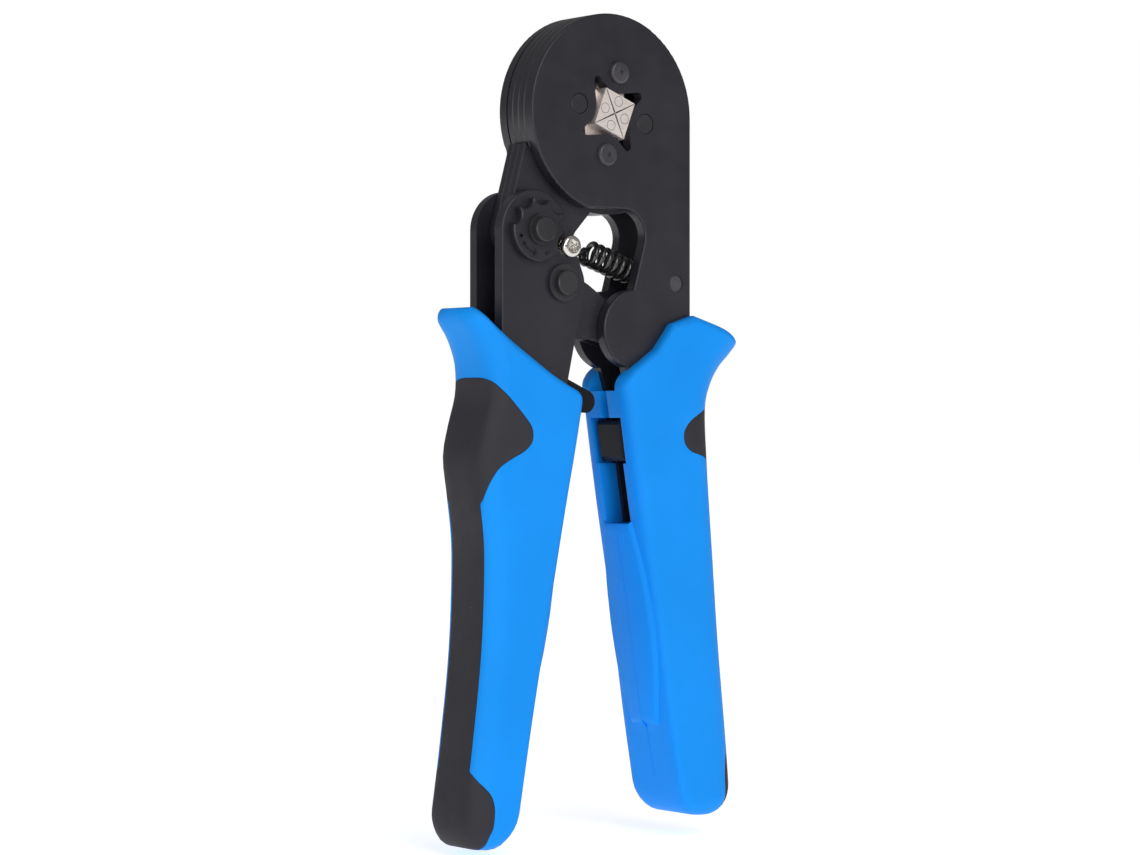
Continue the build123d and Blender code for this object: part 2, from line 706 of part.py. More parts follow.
with BuildPart() as return_spring:
    with BuildLine() as coil_line:
        Helix(coil_length / spring_turns, coil_length, spring_mean,
              center=space(coil_first), direction=spring_axis)
    with BuildSketch(Plane(origin=coil_line.line @ 0, z_dir=coil_line.line % 0)):
        Circle(spring_wire / 2)
    sweep()
    hook_side = polar(2 * ring_mean, spring_bearing, hook_centre)
    anchor_side = polar(-anchor_loop, spring_bearing, anchor_centre)
    for coil_end, axis_point, far_point in ((coil_line.line @ 0, coil_first, hook_side),
                                            (coil_line.line @ 1, coil_last, anchor_side)):
        rod(tuple(coil_end), space(axis_point), spring_wire / 2)
        with Locations(space(axis_point)):
            Sphere(spring_wire / 2)
        rod(space(axis_point), space(far_point), spring_wire / 2)
    with Locations(Plane(origin=space(ring_centre), z_dir=space(across))):
        Torus(ring_mean, spring_wire / 2)
    with Locations(Plane(origin=space(anchor_centre), z_dir=(0, 1, 0))):
        Torus(anchor_loop, spring_wire / 2)

pawl_spring_outer = 3.6
pawl_spring_wire = 0.45
pawl_spring_turns = 5
pawl_spring_z = frame_spacer_centres[0][1]
pawl_spring_start = 12.35
pawl_spring_length = frame_spacer_centres[0][0] - spacer_radius - 0.3 - pawl_spring_wire / 2 - pawl_spring_start

with BuildPart() as pawl_spring:
    with BuildLine() as pawl_line:
        Helix(pawl_spring_length / pawl_spring_turns, pawl_spring_length,
              (pawl_spring_outer - pawl_spring_wire) / 2,
              center=(pawl_spring_start, 0, pawl_spring_z), direction=(1, 0, 0))
    with BuildSketch(Plane(origin=pawl_line.line @ 0, z_dir=pawl_line.line % 0)):
        Circle(pawl_spring_wire / 2)
    sweep()

# ---------------------------------------------------------------- grips
grip_bottom = -149.0
grip_bottom_radius = 9.0     # rounding of the back's lower end, in the front view
fixed_back = [(-47.6, 33.0), (-51.0, 30.0), (-55.5, 27.4), (-62.0, 25.8), (-74.0, 26.7),
              (-92.0, 28.3), (-111.0, 30.0), (-130.0, 31.7), (grip_bottom, 32.8)]
moving_back = [(-42.6, -37.2), (-46.0, -36.2), (-53.5, -33.6), (-62.0, -33.4), (-75.0, -36.3),
               (-92.0, -34.6), (-111.0, -35.1), (-130.0, -37.2), (grip_bottom - 3.5, -39.8)]
fixed_top = [(0.8, -56.0), (20.0, -42.0)]      # inner corner and highest corner
moving_top = [(-10.0, -60.0), (-32.0, -41.3)]
pad_top = -87.0
pad_bottom = -129.0
pad_proud = 1.0
pad_width = 11.0


def grip_blank(back, face, top_line, inset):
    """Grip as a rounded slab; an inset draws its back, its foot and its broad sides in."""
    side = 1 if back[0][1] > face(back[0][0]) else -1
    floor = back[-1][0] + inset
    back_points = [(x - side * inset, max(z, floor)) for z, x in back]
    foot = (face(floor), floor)
    with BuildSketch(front_plane(grip_half - inset)) as profile:
        with BuildLine() as outline:
            Spline(*back_points)
            Polyline(back_points[-1], foot, *top_line, back_points[0])
        make_face(outline.edges())
        heel = profile.vertices().sort_by_distance((*back_points[-1], 0))[0]
        fillet(heel, grip_bottom_radius - inset)
    slab = extrude(profile.sketch, amount=2 * (grip_half - inset))
    half_way = (back[0][0] + back[-1][0]) / 2 + 10
    front_and_rear = slab.edges().filter_by_position(Axis.Y, -grip_half - 1, -grip_half + inset + 0.01)
    front_and_rear += slab.edges().filter_by_position(Axis.Y, grip_half - inset - 0.01, grip_half + 1)
    back_edges = [edge for edge in front_and_rear
                  if edge.center().Z < half_way and abs(edge.center().X - face(edge.center().Z)) > 2 + inset]
    rounded = fillet(back_edges, grip_outer_radius - inset)
    if not inset:
        rims = [edge for edge in rounded.edges().filter_by(Axis.Y, reverse=True)
                if abs(abs(edge.center().Y) - grip_half) < 0.01
                and (abs(edge.center().X - face(edge.center().Z)) < 0.5 or edge.center().Z > top_line[0][1])]
        fillet(rims, grip_inner_radius)


def insert_zone(lobe_circles, strip_back, face):
    """Room of the soft insert before its core is taken out: two lobes and a strip down the back."""
    for small, small_radius, large, large_radius in lobe_circles:
        with BuildSketch(front_plane(grip_half + 2)) as profile:
            disc(small, small_radius)
            disc(large, large_radius)
            make_hull()
        extrude(profile.sketch, amount=2 * grip_half + 4)
    with BuildSketch(front_plane(insert_strip_width / 2)) as profile:
        with BuildLine() as outline:
            side = 1 if strip_back[0][1] > face(strip_back[0][0]) else -1
            inner = [(x - side * 8, z) for z, x in strip_back]
            outer = [(x + side * 6, z) for z, x in reversed(strip_back)]
            Polyline(*inner, *outer, inner[0])
        make_face(outline.edges())
    extrude(profile.sketch, amount=insert_strip_width)


def inner_slot(face, z_top, z_bottom, width, depth):
    """Slot through a grip's inner face into the steel's pocket."""
    side = -1 if face(0) < face(-100) else 1
    with BuildSketch(front_plane(width / 2)) as profile:
        with BuildLine() as outline:
            Polyline((face(z_top) + side * 4, z_top), (face(z_top) - side * depth, z_top),
                     (face(z_bottom) - side * depth, z_bottom), (face(z_bottom) + side * 4, z_bottom),
                     (face(z_top) + side * 4, z_top))
        make_face(outline.edges())
    extrude(profile.sketch, amount=width, mode=Mode.SUBTRACT)


def inner_pad(face):
    """Raised pad on a grip's inner face."""
    side = -1 if face(0) < face(-100) else 1
    with BuildSketch(front_plane(pad_width / 2)) as profile:
        with BuildLine() as outline:
            Polyline((face(pad_top) - side * 2, pad_top), (face(pad_top), pad_top),
                     (face(pad_top - 1.5) + side * pad_proud, pad_top - 1.5),
                     (face(pad_bottom + 1.5) + side * pad_proud, pad_bottom + 1.5),
                     (face(pad_bottom), pad_bottom), (face(pad_bottom) - side * 2, pad_bottom),
                     (face(pad_top) - side * 2, pad_top))
        make_face(outline.edges())
    extrude(profile.sketch, amount=pad_width)


def steel_pocket(outline_function):
    """Pocket of the two plates and the space between them."""
    with BuildSketch(front_plane(stack_half)) as profile:
        outline_function()
    extrude(profile.sketch, amount=2 * stack_half, mode=Mode.SUBTRACT)


strip_top = -62.0
strip_bottom = -144.0
stop_slot_width = 7.0        # slot in the right grip that takes the handle's stop
stop_room = 0.3
stop_turn_steps = (5, 6.5, 8, 9.5, 11, 12.5, 14, 15.5, 17)
fixed_strip = [point for point in fixed_back if strip_bottom < point[0] <= strip_top]
moving_strip = [point for point in moving_back if strip_bottom < point[0] <= strip_top]
fixed_strip.append((strip_bottom, fixed_back[-1][1]))
moving_strip.append((strip_bottom, moving_back[-1][1]))
fixed_lobes = [((22.3, -67.0), 4.5, (36.0, -67.0), 10.0), ((31.0, -140.0), 5.5, (37.0, -141.0), 8.0)]
moving_lobes = [((-27.2, -67.5), 4.0, (-43.0, -67.0), 13.0), ((-37.2, -149.5), 6.0, (-43.0, -150.5), 9.0)]


def make_grip(back, face, top_line, lobes, strip, steel_outline):
    """Hard sleeve and soft insert of one grip, as two parts that share their faces."""
    with BuildPart() as blank:
        grip_blank(back, face, top_line, 0)
    with BuildPart() as core:
        grip_blank(back, face, top_line, insert_depth)
    with BuildPart() as insert:
        insert_zone(lobes, strip, face)
        add(blank.part, mode=Mode.INTERSECT)
        add(core.part, mode=Mode.SUBTRACT)
    with BuildPart() as sleeve:
        add(blank.part)
        inner_pad(face)
        add(insert.part, mode=Mode.SUBTRACT)
        steel_pocket(steel_outline)
    return sleeve, insert


fixed_sleeve_blank, fixed_grip_insert = make_grip(fixed_back, fixed_face, fixed_top, fixed_lobes,
                                                  fixed_strip, frame_outline)
moving_sleeve_blank, moving_grip_insert = make_grip(moving_back, moving_face, moving_top, moving_lobes,
                                                    moving_strip, arm_outline)

with BuildPart() as fixed_grip_sleeve:
    add(fixed_sleeve_blank.part)
    inner_slot(fixed_face, -40.0, -58.5, 7.0, 8.0)
    inner_slot(fixed_face, -58.0, -64.5, 2.8, 8.0)
    inner_slot(fixed_face, -64.0, -73.7, cap_width + 0.5, 8.0)
    inner_slot(fixed_face, -73.0, -86.5, 2.9, 8.0)
    with BuildSketch(front_plane(stop_slot_width / 2)):
        stop_reach = math.dist(wheel_centre, stop_tip)
        stop_bearing = bearing_of(wheel_centre, stop_tip)
        for turn in stop_turn_steps:
            disc(polar(stop_reach, stop_bearing + turn, wheel_centre), stop_radius + stop_room)
    extrude(amount=stop_slot_width, mode=Mode.SUBTRACT)

with BuildPart() as moving_grip_sleeve:
    add(moving_sleeve_blank.part)
    inner_slot(moving_face, -50.0, -65.0, 7.0, 8.0)

part_list = {
    "frame_plate_front": frame_plate_front, "frame_plate_rear": frame_plate_rear,
    "die_pins_domed": die_pins_domed, "die_pins_flush": die_pins_flush,
    "spring_anchor_pin": spring_anchor_pin, "pawl_pin": pawl_pin, "frame_rivets": frame_rivets,
    "frame_spacers": frame_spacers, "rotor_plate_front": rotor_plate_front,
    "rotor_plate_middle": rotor_plate_middle, "rotor_plate_rear": rotor_plate_rear,
    "rotor_rivets": rotor_rivets, "rotor_drive_pins": rotor_drive_pins,
    "arm_plate_front": arm_plate_front, "arm_plate_rear": arm_plate_rear,
    "adjuster_pin": adjuster_pin, "adjuster_clips": adjuster_clips, "adjuster_wheel": adjuster_wheel,
    "lock_screw": lock_screw, "toggle_pin": toggle_pin, "toggle_clips": toggle_clips,
    "handle_stop": handle_stop, "handle_rivets": handle_rivets, "handle_spacers": handle_spacers,
    "strut_plate_front": strut_plate_front, "strut_plate_rear": strut_plate_rear,
    "strut_spacer": strut_spacer, "strut_rivets": strut_rivets, "strut_pin": strut_pin,
    "release_lever": release_lever, "return_spring": return_spring,
    "pawl_spring": pawl_spring,
    "fixed_grip_sleeve": fixed_grip_sleeve, "fixed_grip_insert": fixed_grip_insert,
    "moving_grip_sleeve": moving_grip_sleeve, "moving_grip_insert": moving_grip_insert,
}
for index, name in enumerate(die_names):
    part_list["crimp_die_" + name] = dies[index]
    part_list["die_rivet_" + name] = die_rivets[index]

for name, builder in part_list.items():
    builder.part.label = name
    export_step(builder.part, "parts/" + name + ".step")
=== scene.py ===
import math

import bmesh
import bpy
from bpy.props import FloatProperty, FloatVectorProperty, PointerProperty
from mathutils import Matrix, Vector


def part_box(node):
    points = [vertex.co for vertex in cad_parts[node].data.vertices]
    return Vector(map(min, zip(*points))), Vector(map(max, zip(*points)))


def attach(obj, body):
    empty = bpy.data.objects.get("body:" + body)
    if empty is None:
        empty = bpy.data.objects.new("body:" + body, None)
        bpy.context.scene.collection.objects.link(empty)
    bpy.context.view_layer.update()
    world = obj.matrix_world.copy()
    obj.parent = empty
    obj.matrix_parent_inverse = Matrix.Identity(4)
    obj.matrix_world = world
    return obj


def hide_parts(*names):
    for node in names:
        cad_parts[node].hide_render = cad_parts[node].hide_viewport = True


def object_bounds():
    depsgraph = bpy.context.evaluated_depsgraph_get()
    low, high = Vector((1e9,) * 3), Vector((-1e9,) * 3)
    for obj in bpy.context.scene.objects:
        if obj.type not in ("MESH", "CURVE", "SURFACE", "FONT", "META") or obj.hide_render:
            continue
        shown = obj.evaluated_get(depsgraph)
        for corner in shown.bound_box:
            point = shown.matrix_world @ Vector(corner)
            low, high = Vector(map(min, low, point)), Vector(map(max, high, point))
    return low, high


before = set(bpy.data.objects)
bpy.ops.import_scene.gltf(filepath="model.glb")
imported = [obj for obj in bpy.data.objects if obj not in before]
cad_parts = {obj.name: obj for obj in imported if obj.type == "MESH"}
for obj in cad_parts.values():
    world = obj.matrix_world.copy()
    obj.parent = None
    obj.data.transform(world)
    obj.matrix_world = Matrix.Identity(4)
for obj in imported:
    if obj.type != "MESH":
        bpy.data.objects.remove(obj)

bl_info = {
    "name": "Square Crimping Plier",
    "version": (1, 0, 0),
    "blender": (4, 5, 0),
    "location": "View3D > Sidebar > Plier",
    "description": "Finishes, moulded grips, marks and studio for a hand crimping plier",
    "category": "Add Mesh",
}

CAD_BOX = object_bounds()
MM = 0.001                   # metres in a millimetre


# ------------------------------------------------------------------ sizes and colours
def colour(name, description, default):
    """A colour that the user can change."""
    return FloatVectorProperty(name=name, description=description, default=default,
                               subtype="COLOR", size=3, min=0, max=1)


def length(name, description, default):
    """A length in metres that the user can change."""
    return FloatProperty(name=name, description=description, default=default, unit="LENGTH",
                         precision=5, min=0)


class PlierColours(bpy.types.PropertyGroup):
    oxide: colour("Black Oxide", "Blackened steel of the plates", (0.0130, 0.0120, 0.0172))
    oxide_light: colour("Black Oxide, Light", "Cloudy lighter areas of the blackening",
                        (0.0185, 0.0172, 0.0235))
    oxide_pin: colour("Pin Ends", "Blackened ends of pins and rivets", (0.0170, 0.0160, 0.0185))
    nickel: colour("Nickel", "Plated lock screw", (0.72, 0.69, 0.65))
    die: colour("Die Steel", "Bare ground steel of the four dies", (0.93, 0.84, 0.80))
    spring: colour("Spring", "Oiled black spring wire", (0.008, 0.008, 0.009))
    plastic: colour("Grip Plastic", "Blue moulded plastic", (0.0065, 0.268, 0.830))
    rubber: colour("Soft Insert", "Charcoal soft plastic", (0.0270, 0.0255, 0.0320))
    black_plastic: colour("Black Plastic", "Release lever and stop", (0.012, 0.012, 0.014))
    mark: colour("Wheel Marks", "Dark marks on the wheel", (0.0032, 0.0030, 0.0036))
    floor: colour("Floor", "Pale studio floor", (0.97, 0.97, 0.97))


class PlierSizes(bpy.types.PropertyGroup):
    coil_radius: length("Coil Radius", "Middle of the return spring's wire to its axis", 0.00240)
    spring_wire: length("Spring Wire", "Diameter of the return spring's wire", 0.00122)
    screw_radius: length("Screw Head Radius", "Radius of the lock screw's head", 0.00235)
    mark_radius: length("Mark Radius", "Adjuster pin to the middle of the wheel's marks", 0.0051)
    mark_stroke: length("Mark Stroke", "Width of the wheel's marks", 0.00048)
    mark_proud: length("Mark Height", "Height of the wheel's marks", 0.00008)


def colours():
    return bpy.context.scene.plier_colours


def sizes():
    return bpy.context.scene.plier_sizes


# ------------------------------------------------------------------ materials
# Noise scales are per metre and bump heights are in metres.
NOISE_LOW, NOISE_HIGH = 0.3, 0.7         # most of a noise's values lie between these
DUST_EDGE = 0.80                         # noise value where a speck of dust starts
BLACK, WHITE = (0, 0, 0), (1, 1, 1)


class Finish:
    """A node material that is put together from noise, ramps and bumps on Object coordinates."""

    def __init__(self, name, metallic, roughness, specular=0.5):
        self.material = bpy.data.materials.new(name)
        self.material.use_nodes = True
        self.tree = self.material.node_tree
        self.shader = self.tree.nodes["Principled BSDF"]
        self.shader.inputs["Metallic"].default_value = metallic
        self.shader.inputs["Roughness"].default_value = roughness
        self.shader.inputs["Specular IOR Level"].default_value = specular
        self.place = self.tree.nodes.new("ShaderNodeTexCoord").outputs["Object"]
        self.normal = None

    def stretched(self, scale):
        """The place on the piece, scaled differently along the three axes."""
        mapping = self.tree.nodes.new("ShaderNodeMapping")
        mapping.inputs["Scale"].default_value = scale
        self.tree.links.new(self.place, mapping.inputs["Vector"])
        return mapping.outputs["Vector"]

    def noise(self, scale, detail, roughness, place=None):
        node = self.tree.nodes.new("ShaderNodeTexNoise")
        node.inputs["Scale"].default_value = scale
        node.inputs["Detail"].default_value = detail
        node.inputs["Roughness"].default_value = roughness
        self.tree.links.new(place or self.place, node.inputs["Vector"])
        return node.outputs["Fac"]

    def ramp(self, source, first, second, low=NOISE_LOW, high=NOISE_HIGH):
        """A blend from one shade to another as the source goes from low to high."""
        node = self.tree.nodes.new("ShaderNodeValToRGB")
        for element, position, shade in zip(node.color_ramp.elements, (low, high), (first, second)):
            element.position = position
            element.color = (*shade, 1)
        self.tree.links.new(source, node.inputs["Fac"])
        return node.outputs["Color"]

    def dusted(self, body, scale, full, dust):
        """The body's colour with sparse specks of dust, whose noise is full from a value up."""
        specks = self.noise(scale, detail=1, roughness=0.4)
        mask = self.ramp(specks, BLACK, WHITE, DUST_EDGE, full)
        node = self.tree.nodes.new("ShaderNodeMix")
        node.data_type = "RGBA"
        self.tree.links.new(mask, node.inputs["Factor"])
        self.tree.links.new(body, node.inputs["A"])
        node.inputs["B"].default_value = (*dust, 1)
        return node.outputs["Result"]

    def bump(self, source, height, strength):
        node = self.tree.nodes.new("ShaderNodeBump")
        node.inputs["Distance"].default_value = height
        node.inputs["Strength"].default_value = strength
        self.tree.links.new(source, node.inputs["Height"])
        if self.normal:
            self.tree.links.new(self.normal, node.inputs["Normal"])
        self.normal = node.outputs["Normal"]
        self.tree.links.new(self.normal, self.shader.inputs["Normal"])

    def colour(self, source):
        self.tree.links.new(source, self.shader.inputs["Base Color"])

    def rough(self, source, least, most):
        """Roughness from least to most as the source goes through its usual values."""
        node = self.tree.nodes.new("ShaderNodeMapRange")
        for name, value in (("From Min", NOISE_LOW), ("From Max", NOISE_HIGH),
                            ("To Min", least), ("To Max", most)):
            node.inputs[name].default_value = value
        self.tree.links.new(source, node.inputs["Value"])
        self.tree.links.new(node.outputs["Result"], self.shader.inputs["Roughness"])


def lighter(shade, factor):
    return tuple(min(1.0, value * factor) for value in shade)


def oxide_finish(name, dark, light, roughness=0.36):
    """Blackened steel: cloudy colour, fine blasted grain and a few paler specks of dust."""
    finish = Finish(name, metallic=0.0, roughness=roughness, specular=0.42)
    clouds = finish.noise(scale=85, detail=4, roughness=0.6)
    body = finish.ramp(clouds, dark, light, low=0.32, high=0.68)
    finish.colour(finish.dusted(body, scale=1900, full=0.86, dust=lighter(light, 4.0)))
    finish.rough(finish.noise(scale=160, detail=5, roughness=0.65), roughness - 0.05, roughness + 0.07)
    finish.bump(finish.noise(scale=2600, detail=2, roughness=0.5), height=0.000010, strength=0.45)
    finish.bump(finish.noise(scale=320, detail=2, roughness=0.5), height=0.000020, strength=0.25)
    return finish.material


def plastic_finish(name, shade, roughness, grain):
    """Moulded plastic: faint flow clouds, spark-eroded grain and a soft sheen."""
    finish = Finish(name, metallic=0.0, roughness=roughness, specular=0.10)
    clouds = finish.noise(scale=38, detail=3, roughness=0.5)
    finish.colour(finish.ramp(clouds, lighter(shade, 0.94), lighter(shade, 1.05)))
    finish.rough(finish.noise(scale=700, detail=3, roughness=0.6), roughness - 0.05, roughness + 0.06)
    finish.bump(finish.noise(scale=2300, detail=3, roughness=0.6), height=grain, strength=0.5)
    return finish.material


def rubber_finish(name, shade):
    """Soft insert: matte charcoal with grain and sparse pale dust."""
    finish = Finish(name, metallic=0.0, roughness=0.62, specular=0.25)
    clouds = finish.noise(scale=60, detail=4, roughness=0.6)
    body = finish.ramp(clouds, lighter(shade, 0.88), lighter(shade, 1.10))
    finish.colour(finish.dusted(body, scale=1500, full=0.85, dust=lighter(shade, 3.0)))
    finish.rough(finish.noise(scale=240, detail=4, roughness=0.6), 0.56, 0.70)
    finish.bump(finish.noise(scale=2000, detail=3, roughness=0.6), height=0.000022, strength=0.5)
    return finish.material


def die_finish(name, shade):
    """Ground and polished die steel: fine straight grinding lines under a faint warm haze."""
    finish = Finish(name, metallic=0.75, roughness=0.34)
    lines = finish.noise(scale=900, detail=2, roughness=0.5, place=finish.stretched((1.0, 0.06, 6.0)))
    finish.colour(finish.ramp(lines, lighter(shade, 0.95), lighter(shade, 1.05)))
    finish.rough(lines, 0.30, 0.42)
    finish.bump(lines, height=0.000003, strength=0.4)
    return finish.material


def nickel_finish(name, shade):
    """Bright plating with very fine turned scratches."""
    finish = Finish(name, metallic=1.0, roughness=0.16)
    haze = finish.noise(scale=1500, detail=3, roughness=0.6)
    finish.colour(finish.ramp(haze, lighter(shade, 0.92), lighter(shade, 1.05)))
    finish.rough(haze, 0.12, 0.24)
    finish.bump(finish.noise(scale=5000, detail=2, roughness=0.5), height=0.000003, strength=0.3)
    return finish.material


def spring_finish(name, shade):
    """Oiled black wire: glossy, with faint drawing lines."""
    finish = Finish(name, metallic=0.0, roughness=0.18)
    finish.shader.inputs["IOR"].default_value = 1.7
    haze = finish.noise(scale=900, detail=3, roughness=0.6)
    finish.colour(finish.ramp(haze, lighter(shade, 0.8), lighter(shade, 1.6)))
    finish.rough(haze, 0.12, 0.26)
    finish.bump(finish.noise(scale=3000, detail=2, roughness=0.5), height=0.000005, strength=0.3)
    return finish.material


FINISHES = {}


def make_finishes():
    """Every material, by the name of its finish."""
    shade = colours()
    pin, mark = shade.oxide_pin, shade.mark
    FINISHES["oxide"] = oxide_finish("black_oxide_steel", shade.oxide, shade.oxide_light)
    FINISHES["pin"] = oxide_finish("black_oxide_pin", pin, lighter(pin, 1.4))
    FINISHES["mark"] = oxide_finish("dark_mark_steel", mark, lighter(mark, 1.5))
    FINISHES["dusty"] = oxide_finish("dusty_pin_steel", lighter(pin, 1.5), lighter(pin, 4.5),
                                     roughness=0.30)
    FINISHES["line"] = oxide_finish("dark_hairline", mark, lighter(mark, 3.0), roughness=0.5)
    FINISHES["die"] = die_finish("die_steel", shade.die)
    FINISHES["nickel"] = nickel_finish("bright_nickel", shade.nickel)
    FINISHES["spring"] = spring_finish("oiled_spring_steel", shade.spring)
    FINISHES["plastic"] = plastic_finish("blue_grip_plastic", shade.plastic, roughness=0.46, grain=0.000020)
    FINISHES["rubber"] = rubber_finish("charcoal_soft_insert", shade.rubber)
    FINISHES["black_plastic"] = plastic_finish("black_moulded_plastic", shade.black_plastic,
                                               roughness=0.38, grain=0.000012)


DIES = ("top", "left", "bottom", "right")
NODE_FINISHES = {
    "oxide": (
        "frame_plate_front", "frame_plate_rear", "rotor_plate_front", "rotor_plate_middle",
        "rotor_plate_rear", "arm_plate_front", "arm_plate_rear", "strut_plate_front",
        "strut_plate_rear", "strut_spacer", "frame_spacers", "handle_spacers", "adjuster_wheel",
    ),
    "dusty": ("die_pins_domed", "frame_rivets", "pawl_pin", "spring_anchor_pin"),
    "pin": (
        "die_pins_flush", "adjuster_pin", "toggle_pin",
        "rotor_rivets", "rotor_drive_pins", "adjuster_clips",
        "toggle_clips", "handle_rivets", "strut_pin", "strut_rivets",
    ),
    "die": tuple(f"{kind}_{side}" for kind in ("crimp_die", "die_rivet") for side in DIES),
    "nickel": ("lock_screw",),
    "spring": ("return_spring", "pawl_spring"),
    "plastic": ("fixed_grip_sleeve", "moving_grip_sleeve"),
    "rubber": ("fixed_grip_insert", "moving_grip_insert"),
    "black_plastic": ("release_lever", "handle_stop"),
}


def give_finish(piece, material):
    """Puts one material in every slot of a piece."""
    if not piece.material_slots:
        piece.data.materials.append(material)
    for slot in piece.material_slots:
        slot.material = material


class PLIER_OT_finishes(bpy.types.Operator):
    """Give every steel and plastic part its finish"""
    bl_idname = "plier.finishes"
    bl_label = "Finishes"

    def execute(self, context):
        make_finishes()
        for finish, names in NODE_FINISHES.items():
            for name in names:
                give_finish(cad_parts[name], FINISHES[finish])
        done = {name for names in NODE_FINISHES.values() for name in names}
        left = sorted(set(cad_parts) - done)
        if left:
            raise RuntimeError(f"parts with no finish: {left}")
        return {"FINISHED"}


# ------------------------------------------------------------------ moulded grips
# Lengths are in millimetres, and places in the front view are (x, z).
HALF_THICK = 8.75            # middle of the grip to its front face
INNER_ROUND = 3.2            # rounding between the front and the inner face
OUTER_ROUND = 6.5            # rounding between the front and the back
HEEL_ROUND = 3.2             # rounding of the foot
HAIRLINE = 0.09              # groove between the hard sleeve and the soft insert
GRIP_EDGE = 0.12             # softening of the sharp edges
LOBE_DEPTH = 14              # the insert's lobes go right through the grip
LOBE_STEPS = 3               # steps between two points of a lobe's outline
STRIP_HALF = 5.6             # half the width of the insert's strip down the back
LEAST_MITRE = 0.5            # limits how far a sharp corner of a grown outline goes out

INNER_FLAT = 0.35            # share of the half thickness, of the point beside the inner face's middle
FRONT_SHARES = (0.25, 0.5, 0.75)         # points across the front face
ROUND_TURN = 15              # degrees from point to point of a rounding
OUTER_TURN = 10              # the same for the rounding of the back
SIDE_RINGS = 44              # rings between foot and rim
RIM_CROWDING = 1.5           # power that brings the rings closer together towards the rim
CREST_FROM, CREST_SPREAD = 0.1, 0.45     # shares of the width over which the rim's crest rises
CREST_POWER = 6              # power that keeps the crest near the rim

# The thumb pad: its height and half width in the side view, and each layer's stand and inset.
PAD_WIDTHS = [(-86.0, 4.7), (-92.0, 6.0), (-101.0, 7.0), (-110.0, 7.3), (-119.0, 6.7), (-126.0, 5.4),
              (-129.6, 4.6)]
PAD_STAND = 1.0
PAD_LAYERS = ((-1.5, 0.0), (0.15, 0.0), (PAD_STAND - 0.25, 0.55), (PAD_STAND, 0.95))
PAD_MIDDLE, PAD_HALF_HEIGHT = -108, 22
PAD_STEPS = 24
FACE_STEPS = 400             # steps in which the inner face is searched for a height

# The parting ridge: the shares of the inner face where it starts and that it spans, and its size.
RIDGE_FROM, RIDGE_SPAN, RIDGE_STEPS = 0.03, 0.60, 40
RIDGE_PROUD, RIDGE_ROOT, RIDGE_HALF = 0.06, 0.5, 0.08
RIDGE_PAD_GAP = 0.2          # the ridge climbs on the pad this far above its lower end

